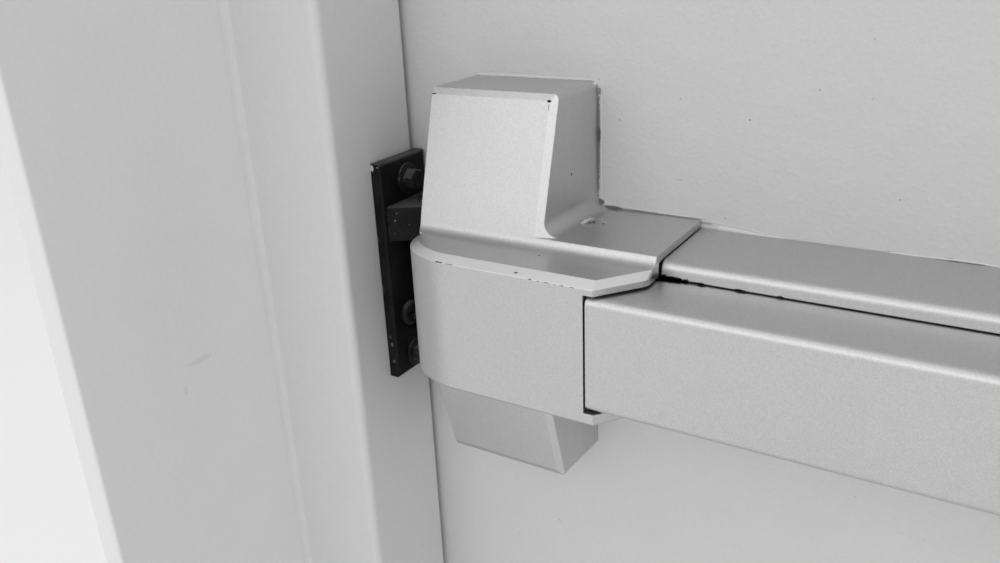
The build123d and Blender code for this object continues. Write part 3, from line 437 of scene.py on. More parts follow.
def paint_film_group(tree, given):
    """Brushed or rolled paint: a mottled colour, an orange peel and brush marks down the piece."""
    broad = noise(tree, 2.6, 3.0)
    cloudy = noise(tree, 38.0, 4.0, 0.6)
    peel = noise(tree, given["Peel Scale"], 2.0, 0.55)
    coarse = noise(tree, times(tree, given["Peel Scale"], 0.22))
    drawn_out = vectors(tree, "MULTIPLY", object_place(tree), (1.0, 1.0, 0.035))
    marks = noise(tree, 1300.0, where=drawn_out)
    blotches = varied(tree, cloudy, 0.5, varied(tree, broad, 1.2, 0.0))
    shade = maths(tree, "MULTIPLY_ADD", blotches, given["Mottle"], 1.0)
    shade = times(tree, shade, varied(tree, peel, 0.08, 1.0))
    height = maths(tree, "MULTIPLY_ADD", coarse, 1.6, peel)
    height = maths(tree, "MULTIPLY_ADD", marks, given["Brush Marks"], height)
    return {
        "Colour": scaled(tree, given["Colour"], shade),
        "Roughness": varied(tree, cloudy, 0.22, given["Roughness"]),
        "Normal": relief(tree, height, given["Peel Height"]),
    }


def flake_coat_group(tree, given):
    """Silver powder coat: fine flakes that differ in tone, over a slightly grainy skin."""
    flake = cells(tree, given["Flake Scale"])[1][0]
    skin = noise(tree, 1500.0, 2.0, 0.6)
    cloudy = noise(tree, 24.0, 3.0)
    shade = times(tree, varied(tree, flake, given["Flake Contrast"], 1.0), varied(tree, cloudy, 0.05, 1.0))
    return {
        "Colour": scaled(tree, given["Colour"], shade),
        "Roughness": varied(tree, cloudy, 0.1, given["Roughness"]),
        "Normal": relief(tree, skin, given["Skin Height"], given["Edge Radius"]),
    }


def edge_wear_group(tree, given):
    """Mask of worn edges, broken up by noise."""
    likeness = vectors(tree, "DOT_PRODUCT", eased(tree, given["Radius"]), surface_normal(tree))
    turn = maths(tree, "SUBTRACT", 1.0, likeness)
    patches = noise(tree, given["Patch Scale"], 4.0, 0.65)
    reach = maths(tree, "MULTIPLY_ADD", given["Amount"], 0.5, patches)
    return {"Mask": times(tree, span(tree, turn, 0.02, 0.12), span(tree, reach, 0.62, 0.72))}


def corner_dirt_and_shade_group(tree, given):
    """Mask of grime and painted shade where pieces meet, from how closed in each point is."""
    inputs = {"Distance": given["Reach"]}
    open_sky = node(tree, "ShaderNodeAmbientOcclusion", inputs, samples=EDGE_SAMPLES).outputs["AO"]
    closed = maths(tree, "SUBTRACT", 1.0, open_sky)
    patches = noise(tree, given["Patch Scale"], 4.0, 0.6)
    ragged = times(tree, span(tree, closed, 0.3, 0.75), span(tree, patches, 0.3, 0.55))
    return {"Mask": times(tree, ragged, given["Amount"])}


def chip_group(tree, given):
    """Mask of one chip or mark at a place, with a ragged edge."""
    away = vectors(tree, "SUBTRACT", given["Where"], given["Place"])
    distance = vectors(tree, "LENGTH", vectors(tree, "DIVIDE", away, given["Half Size"]))
    reach = maths(tree, "ADD", given["Wander"], distance)
    return {"Mask": span(tree, reach, 1.0, 0.75)}


def speck_group(tree, given):
    """Mask of scattered small specks."""
    distance, numbers = cells(tree, given["Scale"])
    small = maths(tree, "LESS_THAN", distance, given["Size"])
    few = maths(tree, "LESS_THAN", numbers[1], given["Share"])
    return {"Mask": times(tree, small, few)}


# Shared groups: what makes each, and its inputs with their usual values.
GROUP_MAKERS = {
    "paint film": (
        paint_film_group,
        {
            "Colour": (0.5, 0.5, 0.5, 1),
            "Mottle": 0.05,
            "Peel Scale": 500.0,
            "Peel Height": 0.00003,
            "Brush Marks": 0.0,
            "Roughness": 0.42,
        },
    ),
    "flake coat": (
        flake_coat_group,
        {
            "Colour": (0.6, 0.6, 0.6, 1),
            "Flake Scale": 3200.0,
            "Flake Contrast": 0.16,
            "Skin Height": 0.000012,
            "Roughness": 0.36,
            "Edge Radius": 0.0005,
        },
    ),
    "edge wear": (edge_wear_group, {"Radius": 0.0005, "Amount": 0.5, "Patch Scale": 300.0}),
    "corner dirt": (corner_dirt_and_shade_group, {"Reach": 0.002, "Amount": 0.6, "Patch Scale": 260.0}),
    "chip": (
        chip_group,
        {"Where": (0, 0, 0), "Place": (0, 0, 0), "Half Size": (0.001, 0.001, 0.001), "Wander": 0.0},
    ),
    "specks": (speck_group, {"Scale": 90.0, "Size": 0.05, "Share": 0.05}),
}
OUTPUT_KINDS = {"Mask": "Float", "Colour": "Color", "Roughness": "Float", "Normal": "Vector"}


def shared(tree, name, values):
    """One of the shared groups placed in a material's tree: its outputs."""
    group = bpy.data.node_groups.get(name) or group_tree(name)
    return node(tree, "ShaderNodeGroup", values, node_tree=group).outputs


def material(name, look, *details, **more):
    """A new material with one of the looks, each of which returns inputs for its shader."""
    made = bpy.data.materials.new(name)
    made.use_nodes = True
    tree = made.node_tree
    wired(tree, tree.nodes["Principled BSDF"].inputs, look(tree, *details, **more))
    return made


def grey(tone):
    """A neutral colour."""
    return (tone, tone, tone, 1.0)


def rgba(colour):
    """A colour property with its alpha."""
    return (*colour, 1.0)


def marked(tree, tone, marks):
    """A tone with its marks, given as (place, half size, tone, strength) on the device: chips and scratches,
    and in places painted shade.
    """
    if not marks:
        return tone
    where = object_place(tree)
    wander = maths(tree, "MULTIPLY_ADD", noise(tree, 1400.0, 3.0), 1.2, -0.6)
    for place, half_size, value, *strength in marks:
        inputs = {
            "Where": where,
            "Place": device_point(*place),
            "Half Size": [side * MM for side in half_size],
            "Wander": wander,
        }
        mask = shared(tree, "chip", inputs)["Mask"]
        if strength:
            mask = times(tree, mask, strength[0])
        tone = mixed(tree, mask, tone, grey(value))
    return tone


def coated(tree, coat, tone, marks):
    """Inputs of a shader for the skin of a coat, and for a tone with its marks."""
    return {
        "Base Color": marked(tree, tone, marks),
        "Roughness": coat["Roughness"],
        "Normal": coat["Normal"],
    }


def painted(tree, colour, film, marks=()):
    """Paint with specks, grime and painted shade in corners, and any marks given as (place, half size, tone,
    strength).
    """
    inputs = {key.replace("_", " ").title(): value for key, value in film._asdict().items() if key != "dirt"}
    coat = shared(tree, "paint film", {"Colour": rgba(colour), **inputs})
    specks = shared(tree, "specks", {"Scale": 95.0, "Size": 0.035, "Share": 0.06})["Mask"]
    tone = mixed(tree, times(tree, specks, 0.45), coat["Colour"], grey(PAINT_SPECK))
    # Grime with painted shade in corners and where pieces meet.
    if film.dirt:
        dirt = shared(tree, "corner dirt", {"Reach": 0.0025, "Amount": film.dirt})["Mask"]
        tone = mixed(tree, dirt, tone, grey(PAINT_DIRT_AND_SHADE))
    return coated(tree, coat, tone, marks)


def rubbed(tree, low, high):
    """Mask of slanting faces between two heights on the device, where a highlight is painted on the coat."""
    height, up = parted(tree, object_place(tree))[2], parted(tree, surface_normal(tree))[2]
    low, high = device_point(0, 0, low).z, device_point(0, 0, high).z
    mask = LEDGE_HIGHLIGHT_COVER
    for value, (least, most) in ((height, (low, high)), (up, LEDGE_HIGHLIGHT_SLANT)):
        mask = times(tree, mask, maths(tree, "GREATER_THAN", value, least))
        mask = times(tree, mask, maths(tree, "LESS_THAN", value, most))
    return mask


def silvered(tree, finish, marks=(), dirt=0.6, rubbed_band=None):
    """Silver coat: painted shade and grime in corners, a painted highlight band, chips as (place, half size,
    tone).
    """
    inputs = {
        "Colour": rgba(finish.silver),
        "Roughness": finish.silver_roughness,
        "Edge Radius": finish.edge_round,
    }
    coat = shared(tree, "flake coat", inputs)
    tone = coat["Colour"]
    # Painted highlight on the slanting faces of the ledge bevel.
    if rubbed_band:
        tone = mixed(tree, rubbed(tree, *rubbed_band), tone, grey(LEDGE_HIGHLIGHT_TONE))
    # Grime with painted shade where pieces meet.
    soil_and_shade = shared(tree, "corner dirt", {"Reach": 0.0012, "Amount": dirt})["Mask"]
    tone = mixed(tree, soil_and_shade, tone, grey(SILVER_DIRT_AND_SHADE))
    return {"Metallic": 1.0, **coated(tree, coat, tone, marks)}


def blackened(tree, colour, wear, marks=()):
    """Dull black finish on steel: worn bright along its edges, and lighter where it faces up, with dust and
    painted light from above.
    """
    grain = noise(tree, 700.0, 4.0, 0.6)
    cloudy = noise(tree, 90.0, 3.0)
    worn = shared(tree, "edge wear", {"Radius": 0.0006, "Amount": wear, "Patch Scale": 420.0})["Mask"]
    specks = shared(tree, "specks", {"Scale": 420.0, "Size": 0.09, "Share": 0.05})["Mask"]
    # Faces that point up are lighter: dust, and painted light from above.
    up = parted(tree, surface_normal(tree))[2]
    dusty = times(tree, span(tree, up, 0.3, 0.95), span(tree, cloudy, 0.1, 0.8, 0.25, 0.6))
    tone = mixed(tree, span(tree, cloudy, 0.35, 0.7), rgba(colour), grey(colour[0] * 1.9))
    tone = mixed(tree, dusty, tone, grey(BLACK_DUST_AND_TOP_LIGHT))
    tone = mixed(tree, times(tree, specks, 0.4), tone, grey(BARE_STEEL))
    tone = mixed(tree, worn, tone, grey(BARE_STEEL))
    return {
        "Base Color": marked(tree, tone, marks),
        "Metallic": worn,
        "Specular IOR Level": 0.12,
        "Roughness": maths(tree, "MULTIPLY_ADD", grain, 0.3, 0.3),
        "Normal": relief(tree, grain, 0.00004, 0.0005),
    }


def steel(tree, tone, roughness, grain_direction, wear=0.2):
    """Bare or plated steel with a fine grain and slightly brighter edges."""
    drawn_out = vectors(tree, "MULTIPLY", object_place(tree), grain_direction)
    grain = noise(tree, 2200.0, 3.0, 0.6, drawn_out)
    cloudy = noise(tree, 60.0, 4.0, 0.6)
    colour = mixed(tree, span(tree, cloudy, 0.3, 0.75), grey(tone), grey(tone * 0.72))
    worn = shared(tree, "edge wear", {"Radius": 0.0004, "Amount": wear, "Patch Scale": 500.0})["Mask"]
    return {
        "Base Color": mixed(tree, worn, colour, grey(BRIGHT_EDGE)),
        "Metallic": 1.0,
        "Roughness": varied(tree, grain, 0.2, roughness),
        "Normal": relief(tree, grain, 0.00001, 0.0003),
    }


def moulded(tree, tone, roughness):
    """Moulded plastic or rubber with a fine skin."""
    skin = noise(tree, 900.0, 3.0, 0.6)
    cloudy = noise(tree, 70.0, 3.0)
    return {
        "Base Color": mixed(tree, span(tree, cloudy, 0.3, 0.7), grey(tone), grey(tone * 1.35)),
        "Roughness": maths(tree, "MULTIPLY_ADD", cloudy, 0.15, roughness),
        "Normal": relief(tree, skin, 0.00003, 0.0004),
    }


def honeycomb(tree, colour):
    """Edge of the paper honeycomb that fills the leaf, with painted shade in its open cells."""
    inputs = {"Vector": object_place(tree), "Scale": 55.0, "Randomness": 0.25}
    edges = node(tree, "ShaderNodeTexVoronoi", inputs, feature="DISTANCE_TO_EDGE")
    wall = span(tree, edges.outputs["Distance"], 0.05, 0.02)
    # Painted shade in the open cells, paper on their walls.
    tone = mixed(tree, wall, grey(CELL_SHADE), rgba(colour))
    tone = mixed(tree, times(tree, noise(tree, 400.0, 4.0, 0.7), 0.4), tone, grey(FIBRE))
    return {"Base Color": tone, "Roughness": 0.85, "Normal": relief(tree, wall, 0.0008)}


def plain_floor(tree, colour):
    """Plain floor with a little dust."""
    dusty = times(tree, noise(tree, 6.0, 4.0), 0.06)
    return {"Base Color": mixed(tree, dusty, rgba(colour), grey(FLOOR_DUST)), "Roughness": 0.7}


# Geometry nodes


def geometry_tree(name, inputs, maker, *details):
    """A geometry tree with named sizes. It ends in what its maker returns, in the given material."""
    tree = bpy.data.node_groups.new(name, "GeometryNodeTree")
    tree.is_modifier = True
    tree.interface.new_socket(name="Points", in_out="INPUT", socket_type="NodeSocketGeometry")
    for label, default in inputs.items():
        add_input(tree, label, default)
    tree.interface.new_socket(name="Material", in_out="INPUT", socket_type="NodeSocketMaterial")
    tree.interface.new_socket(name="Geometry", in_out="OUTPUT", socket_type="NodeSocketGeometry")
    given = tree.nodes.new("NodeGroupInput").outputs
    real = output(tree, "GeometryNodeRealizeInstances", {"Geometry": maker(tree, given, *details)})
    made = output(tree, "GeometryNodeSetMaterial", {"Geometry": real, "Material": given["Material"]})
    tree.links.new(made, tree.nodes.new("NodeGroupOutput").inputs[0])
    return tree


def joined(tree, parts):
    """Several geometries as one."""
    made = tree.nodes.new("GeometryNodeJoinGeometry")
    for part in parts:
        tree.links.new(part, made.inputs[0])
    return made.outputs[0]


def moved(tree, part, shift=(0, 0, 0), size=(1, 1, 1)):
    """A geometry shifted and scaled."""
    inputs = {"Geometry": part, "Translation": shift, "Scale": size}
    return output(tree, "GeometryNodeTransform", inputs)


def shifted_points(tree, part, offset):
    """Points or a curve moved by an offset of their own."""
    return output(tree, "GeometryNodeSetPosition", {"Geometry": part, "Offset": offset})


def stored(tree, name, kind):
    """An attribute that the points carry."""
    return output(tree, "GeometryNodeInputNamedAttribute", {"Name": name}, data_type=kind)


def wound(tree, radius, turns, height, steps):
    """A curve wound round Z, with a number of steps in each turn."""
    inputs = {
        "Resolution": steps,
        "Rotations": turns,
        "Start Radius": radius,
        "End Radius": radius,
        "Height": height,
    }
    return output(tree, "GeometryNodeCurveSpiral", inputs)


def swept(tree, path, radius, sides, thickness=1.0):
    """A round wire along a curve, with closed ends."""
    inputs = {"Resolution": sides, "Radius": radius}
    profile = output(tree, "GeometryNodeCurvePrimitiveCircle", inputs)
    inputs = {"Curve": path, "Profile Curve": profile, "Scale": thickness, "Fill Caps": True}
    return output(tree, "GeometryNodeCurveToMesh", inputs)


def turned(tree, outline, radius, height, sides):
    """Closed body turned round Z, from an outline given in shares of a radius and a height."""
    parts = []
    for (low_radius, low), (high_radius, high) in zip(outline, outline[1:]):
        inputs = {
            "Vertices": sides,
            "Radius Bottom": times(tree, radius, low_radius),
            "Radius Top": times(tree, radius, high_radius),
            "Depth": times(tree, height, high - low),
        }
        ring = output(tree, "GeometryNodeMeshCone", inputs, fill_type="NONE")
        parts.append(moved(tree, ring, combined(tree, z=times(tree, height, low))))
    for share, level in (outline[0], outline[-1]):
        inputs = {"Vertices": sides, "Radius": times(tree, radius, share)}
        lid = output(tree, "GeometryNodeMeshCircle", inputs, fill_type="NGON")
        if level == outline[0][1]:
            lid = output(tree, "GeometryNodeFlipFaces", {"Mesh": lid})
        parts.append(moved(tree, lid, combined(tree, z=times(tree, height, level))))
    inputs = {"Geometry": joined(tree, parts), "Distance": 0.000001}
    return output(tree, "GeometryNodeMergeByDistance", inputs)


def cut_away(tree, body, tools):
    """A closed body less other closed bodies."""
    made = node(tree, "GeometryNodeMeshBoolean", {"Mesh 1": body}, operation="DIFFERENCE")
    for tool in tools:
        tree.links.new(tool, made.inputs["Mesh 2"])
    return made.outputs["Mesh"]


def cross_recess(tree, radius, depth):
    """Tools for a cross recess in the top of a head."""
    arms = []
    for length, width in RECESS_ARMS:
        length, width = times(tree, radius, length), times(tree, radius, width)
        size = combined(tree, length, width, times(tree, depth, 2.0))
        arms.append(output(tree, "GeometryNodeMeshCube", {"Size": size}))
    return arms


def head_form(tree, name, radius, height):
    """One of the turned forms that screw heads are made of."""
    outline, sides = SCREW_HEADS[name]
    return turned(tree, outline, radius, height, sides)


def screw_head(tree, kind, radius, height, recess):
    """Head of a screw: a dished hexagon on a washer, or a turned form with a cross recess."""
    form = head_form(tree, kind, radius, height)
    if kind == "hexagon":
        crown = cut_away(tree, form, [head_form(tree, "dish", radius, height)])
        return joined(tree, (crown, head_form(tree, "washer", radius, height)))
    return cut_away(tree, form, cross_recess(tree, radius, recess))


def threaded_shank(tree, radius, length, pitch):
    """Shank below its head: a core with a blunt tip and a thread wound round it."""
    outline = ((TIP_SHARE, -1.0), (CORE_SHARE, THREAD_END), (CORE_SHARE, 0.0))
    core = turned(tree, outline, radius, length, SHANK_SIDES)
    turns = maths(tree, "DIVIDE", times(tree, length, 0.9), pitch)
    height = times(tree, length, THREAD_LENGTH)
    path = wound(tree, times(tree, radius, CORE_SHARE), turns, height, THREAD_STEPS)
    ridge = swept(tree, path, times(tree, radius, 1.0 - CORE_SHARE), THREAD_SIDES)
    return joined(tree, (core, moved(tree, ridge, combined(tree, z=times(tree, length, THREAD_END)))))


def set_on_points(tree, points, part, turn, scale=(1, 1, 1)):
    """A geometry repeated on points, standing up along each point's facing and spun round it."""
    inputs = {"Vector": stored(tree, "facing", "FLOAT_VECTOR")}
    upright = output(tree, "FunctionNodeAlignRotationToVector", inputs, axis="Z")
    spin = output(tree, "FunctionNodeAxisAngleToRotation", {"Axis": (0, 0, 1), "Angle": turn})
    inputs = {"Rotation": upright, "Rotate By": spin}
    rotation = output(tree, "FunctionNodeRotateRotation", inputs, rotation_space="LOCAL")
    inputs = {"Points": points, "Instance": part, "Rotation": rotation, "Scale": scale}
    return output(tree, "GeometryNodeInstanceOnPoints", inputs)


# Inputs of the geometry trees below with their usual values: sizes in metres, and counts.
SPRING_SIZES = {"Length": 0.03, "Coil Radius": 0.004, "Wire Radius": 0.0005, "Turns": 10.0}
BEAD_SIZES = {"Bead Radius": 0.0004, "Flatness": 0.5, "Wander": 0.0003, "Step": 0.0006}
SCREW_SIZES = {
    "Head Radius": 0.005,
    "Head Height": 0.0025,
    "Recess Depth": 0.0018,
    "Shank Radius": 0.0025,
    "Shank Length": 0.01,
    "Pitch": 0.001,
    "Seed": 4,
}


def screw(tree, given, kind):
    """A screw with its top at each point: countersunk, pan or hexagon washer head."""
    points, height = given["Points"], given["Head Height"]
    head = screw_head(tree, kind, given["Head Radius"], height, given["Recess Depth"])
    shank = threaded_shank(tree, given["Shank Radius"], given["Shank Length"], given["Pitch"])
    inputs = {2: 0.0, 3: math.tau, 8: given["Seed"]}
    spin = node(tree, "FunctionNodeRandomValue", inputs, data_type="FLOAT").outputs[1]
    sinking = scaled(tree, stored(tree, "facing", "FLOAT_VECTOR"), times(tree, height, SHANK_START))
    seats = shifted_points(tree, points, sinking)
    stretch = combined(tree, 1.0, 1.0, stored(tree, "reach", "FLOAT"))
    heads = set_on_points(tree, points, head, spin)
    return joined(tree, (heads, set_on_points(tree, seats, shank, spin, stretch)))


def spring(tree, given):
    """A spring of round wire, with closed ends, from each point along its facing."""
    coil = wound(tree, given["Coil Radius"], given["Turns"], 1.0, COIL_STEPS)
    place = parted(tree, output(tree, "GeometryNodeInputPosition"))
    pitch = node(tree, "ShaderNodeFloatCurve", {"Value": place[2]})
    curve = pitch.mapping.curves[0]
    for share, height in CLOSED_ENDS:
        curve.points.new(share, height)
    for point in curve.points:
        point.handle_type = "VECTOR"
    pitch.mapping.update()
    wire = given["Wire Radius"]
    free = maths(tree, "MULTIPLY_ADD", wire, -2.0, given["Length"])
    height = maths(tree, "MULTIPLY_ADD", pitch.outputs[0], free, wire)
    inputs = {"Geometry": coil, "Position": combined(tree, place[0], place[1], height)}
    spread = output(tree, "GeometryNodeSetPosition", inputs)
    return set_on_points(tree, given["Points"], swept(tree, spread, wire, WIRE_SIDES), 0.0)


def paint_bead(tree, given):
    """A hand-laid paint bead along a path on the leaf."""
    path = output(tree, "GeometryNodeMeshToCurve", {"Mesh": given["Points"]})
    inputs = {"Curve": path, "Length": given["Step"]}
    path = output(tree, "GeometryNodeResampleCurve", inputs, mode="LENGTH")
    wave = node(tree, "ShaderNodeTexNoise", {"Scale": 160.0, "Detail": 3.0}).outputs["Color"]
    drift = vectors(tree, "SUBTRACT", wave, (0.5, 0.5, 0.5))
    drift = vectors(tree, "MULTIPLY", drift, (2.0, 0.0, 2.0))
    path = shifted_points(tree, path, scaled(tree, drift, given["Wander"]))
    share = node(tree, "GeometryNodeSplineParameter").outputs["Factor"]
    ends = times(tree, span(tree, share, 0.0, 0.08, 0.15, 1.0), span(tree, share, 1.0, 0.85, 0.15, 1.0))
    lumps = output(tree, "ShaderNodeTexNoise", {"Scale": 420.0, "Detail": 2.0})
    thickness = times(tree, ends, maths(tree, "MULTIPLY_ADD", lumps, 1.1, 0.45))
    bead = swept(tree, path, given["Bead Radius"], BEAD_SIDES, thickness)
    return moved(tree, bead, size=combined(tree, 1.0, given["Flatness"], 1.0))


# Pieces


def placed(name, data):
    """A new object in the scene."""
    made = bpy.data.objects.new(name, data)
    bpy.context.scene.collection.objects.link(made)
    return made


def grown(tree, name, mesh, values):
    """What a geometry tree makes on a mesh, as a plain mesh object without modifiers."""
    maker = placed(name + "_maker", mesh)
    modifier = maker.modifiers.new("maker", "NODES")
    modifier.node_group = tree
    for item in tree.interface.items_tree:
        if item.in_out == "INPUT" and item.name in values:
            modifier[item.identifier] = values[item.name]
    bpy.context.view_layer.update()
    depsgraph = bpy.context.evaluated_depsgraph_get()
    made = bpy.data.meshes.new_from_object(maker.evaluated_get(depsgraph))
    bpy.data.objects.remove(maker)
    if not made.polygons:
        raise RuntimeError(name + " came out empty")
    return placed(name, made)


def point_mesh(name, rows):
    """Mesh of single points from rows of (place, facing, reach)."""
    places, facings, reaches = zip(*rows)
    parts = [part for facing in facings for part in facing]
    mesh = bpy.data.meshes.new(name)
    mesh.from_pydata(places, [], [])
    mesh.attributes.new("facing", "FLOAT_VECTOR", "POINT").data.foreach_set("vector", parts)
    mesh.attributes.new("reach", "FLOAT", "POINT").data.foreach_set("value", reaches)
    return mesh


def separate_boxes(name):
    """Lowest and highest corners of each separate solid of a CAD node."""
    work = bmesh.new()
    work.from_mesh(frame["nodes"][name].data)
    bmesh.ops.remove_doubles(work, verts=work.verts, dist=2e-6)
    left, boxes = set(work.verts), []
    for start in work.verts:
        if start not in left:
            continue
        left.remove(start)
        reached = [start]
        for vertex in reached:
            for edge in vertex.link_edges:
                other = edge.other_vert(vertex)
                if other in left:
                    left.remove(other)
                    reached.append(other)
        low = Vector(min(vertex.co[axis] for vertex in reached) for axis in range(3))
        high = Vector(max(vertex.co[axis] for vertex in reached) for axis in range(3))
        boxes.append((low, high))
    work.free()
    return boxes


def tops(boxes, facing):
    """Where the heads of screws end, each with its facing and its whole length."""
    rows = []
    for low, high in boxes:
        middle = (low + high) / 2
        out = facing if facing else Vector((0, 0, math.copysign(1, middle.z - DEVICE.z)))
        length = abs((high - low).dot(out))
        rows.append((middle + out * length / 2, out, length))
    return rows


def one_piece(name, parts, finish):
    """Several mesh objects as one, in one finish."""
    work = bmesh.new()
    for part in parts:
        work.from_mesh(part.data)
        bpy.data.objects.remove(part)
    for face in work.faces:
        face.material_index = 0
    mesh = bpy.data.meshes.new(name)
    work.to_mesh(mesh)
    work.free()
    mesh.materials.append(finish)
    return placed(name, mesh)


def soften(piece, angle=CREASE):
    """Smooth shading with sharp edges past an angle."""
    piece.data.shade_smooth()
    piece.data.set_sharp_from_angle(angle=math.radians(angle))
    return piece


def dress(slot, look, *details, **more):
    """Gives a new material to the CAD nodes that take one of the record's material slots."""
    finish = material(slot, look, *details, **more)
    for row in frame["record"]["subparts"]:
        if row["material_slot"] == slot:
            for place in frame["nodes"][row["node"]].material_slots:
                place.material = finish


def body_of(name):
    """The body that a CAD node belongs to."""
    bodies = frame["record"]["behaviour"]["bodies"]
    return next(body for body, members in bodies.items() if name in members)


def settled(piece, stands_for):
    """Rides a finished piece on the body of the nodes it stands for, and hides them."""
    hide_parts(*stands_for)
    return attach(piece, body_of(stands_for[0]))


# Settings and operators


def tone_setting(name, description, tone):
    """A neutral colour that the user can change."""
    colour = (tone, tone, tone)
    return bpy.props.FloatVectorProperty(name=name, description=description, subtype="COLOR", default=colour)


def number_setting(name, description, value, **limits):
    """A number that the user can change, with its limits and unit."""
    limits = {"min": 0.0, **limits}
    return bpy.props.FloatProperty(name=name, description=description, default=value, **limits)


def length_setting(name, description, length, least=0.0):
    """A length in metres that the user can change."""
    return number_setting(name, description, length, min=least, unit="LENGTH")


def share_setting(name, description, share):
    """A share between 0 and 1 that the user can change."""
    return number_setting(name, description, share, max=1.0)


def power_setting(name, description, power):
    """The power of a lamp in watts, which the user can change."""
    return number_setting(name, description, power, unit="POWER")


class DoorPaint(bpy.types.PropertyGroup):
    """Paint of the leaf, the frame and the lining."""

    leaf_colour: tone_setting("Leaf colour", "Rolled paint of the leaf", 0.6)
    frame_colour: tone_setting("Frame colour", "Brushed paint of the frame", 0.65)
    lining_colour: tone_setting("Lining colour", "Paint of the reveal lining", 0.77)
    sealant_colour: tone_setting("Sealant colour", "Painted bead in the corner", 0.66)
    # A little lighter than the leaf's paint: a painted highlight on the beads.
    bead_colour: tone_setting("Bead colour", "Thick paint along the device", 0.64)
    peel_height: length_setting("Orange peel height", "Height of the roller texture on the leaf", 0.0002)


class DeviceFinish(bpy.types.PropertyGroup):
    """Finish of the touch-bar device and the strike."""

    silver: tone_setting("Silver coat", "Powder coat of the cover and the bar", 0.59)
    silver_roughness: share_setting("Silver roughness", "Roughness of the powder coat", 0.4)
    strike_black: tone_setting("Strike black", "Black finish of the strike", 0.006)
    screw_black: tone_setting("Screw black", "Black finish of the strike's screws", 0.012)
    edge_round: length_setting("Edge rounding", "Radius of the eased edges", 0.0005)
    strike_wear: share_setting("Strike wear", "How much bare metal shows on the strike's edges", 0.35)


class FastenerSizes(bpy.types.PropertyGroup):
    """Sizes of the screw heads, the thread and the springs."""

    cover_head: length_setting("Cover screw head", "Radius of the cover's screws", 0.0047, 0.001)
    hinge_head: length_setting("Hinge screw head", "Radius of the hinge screws", 0.0054, 0.001)
    pan_head: length_setting("Device screw head", "Radius of the device's screws", 0.0055, 0.001)
    washer: length_setting("Washer", "Radius of the strike screws' washers", 0.0068, 0.001)
    lock_head: length_setting("Lock screw head", "Radius of the strike's lock screw", 0.0059, 0.001)
    pitch: length_setting("Thread pitch", "Rise of a thread in one turn", 0.00125, 0.0003)
    latch_wire: length_setting("Latch spring wire", "Radius of its wire", 0.0006, 0.0001)
    latch_turns: number_setting("Latch spring turns", "Turns of its coil", 10.0, min=1.0)
    bar_wire: length_setting("Bar spring wire", "Radius of its wire", 0.0008, 0.0001)
    bar_turns: number_setting("Bar spring turns", "Turns of its coil", 11.0, min=1.0)
    seed: bpy.props.IntProperty(name="Screw seed", description="How the recesses happen to stand", default=4)


class StudioLight(bpy.types.PropertyGroup):
    """Floor and light of the studio."""

    floor_colour: tone_setting("Floor colour", "Plain floor", 0.85)
    backdrop_tone: share_setting("Backdrop", "Tone of the background that is seen", 0.87)
    sky_strength: number_setting("Sky", "Strength of the even light from all sides", 0.83)
    front_power: power_setting("Front light", "Wide soft light before the door", 80.0)
    back_power: power_setting("Back light", "Wide soft light behind the door", 62.0)
    top_power: power_setting("Top light", "Soft light above the door", 10.0)


class DOOR_OT_frame_paint(bpy.types.Operator):
    """Paint the frame, the reveal lining and the sealant bead."""

    bl_idname = "door.frame_paint"
    bl_label = "Frame and lining"

    def execute(self, context):
        paint = context.scene.door_paint
        dress("frame_paint", painted, paint.frame_colour, FRAME_FILM)
        dress("lining_paint", painted, paint.lining_colour, LINING_FILM, LINING_MARKS)
        dress("sealant", painted, paint.sealant_colour, SEALANT_FILM)
        return {"FINISHED"}


class DOOR_OT_leaf_paint(bpy.types.Operator):
    """Paint the leaf and finish its filling and channels."""

    bl_idname = "door.leaf_paint"
    bl_label = "Leaf"

    def execute(self, context):
        paint = context.scene.door_paint
        film = LEAF_FILM._replace(peel_height=paint.peel_height)
        marks = [((x, 0.0, z), (wide, 1.0, tall), *tone) for x, z, wide, tall, *tone in LEAF_MARKS]
        dress("leaf_paint", painted, paint.leaf_colour, film, marks)
        dress("core", honeycomb, PAPER_COLOUR)
        dress("rubber", moulded, 0.05, 0.6)
        return {"FINISHED"}


class DOOR_OT_paint_beads(bpy.types.Operator):
    """Lay the paint beads that follow the cover and the rail on the leaf."""

    bl_idname = "door.paint_beads"
    bl_label = "Paint beads"

    def execute(self, context):
        tree = geometry_tree("paint beads", BEAD_SIZES, paint_bead)
        # The beads take the leaf's paint a little lighter, as a painted highlight.
        finish = material("bead_paint", painted, context.scene.door_paint.bead_colour, BEAD_FILM)
        for name, ((radius, flatness, wander), path) in PAINT_BEADS.items():
            mesh = bpy.data.meshes.new(name + "_path")
            steps = [(start, start + 1) for start in range(len(path) - 1)]
            mesh.from_pydata([device_point(x, 0.0, z) for x, z in path], steps, [])
            values = {
                "Bead Radius": radius * MM,
                "Flatness": flatness,
                "Wander": wander * MM,
                "Material": finish,
            }
            bead = soften(grown(tree, name, mesh, values), BEAD_CREASE)
            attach(bead, "leaf")
        return {"FINISHED"}


class DOOR_OT_device(bpy.types.Operator):
    """Coat the cover, the bar, the rail and the end cap."""

    bl_idname = "door.device"
    bl_label = "Touch-bar device"

    def execute(self, context):
        finish = context.scene.device_finish
        # The cover's ledge bevel gets a painted highlight.
        dress("cover_silver", silvered, finish, COVER_MARKS, rubbed_band=LEDGE_BEVEL)
        dress("bar_silver", silvered, finish, BAR_MARKS)
        dress("rail_silver", silvered, finish, RAIL_MARKS, dirt=0.3)
        dress("plug_black", moulded, 0.02, 0.45)
        return {"FINISHED"}


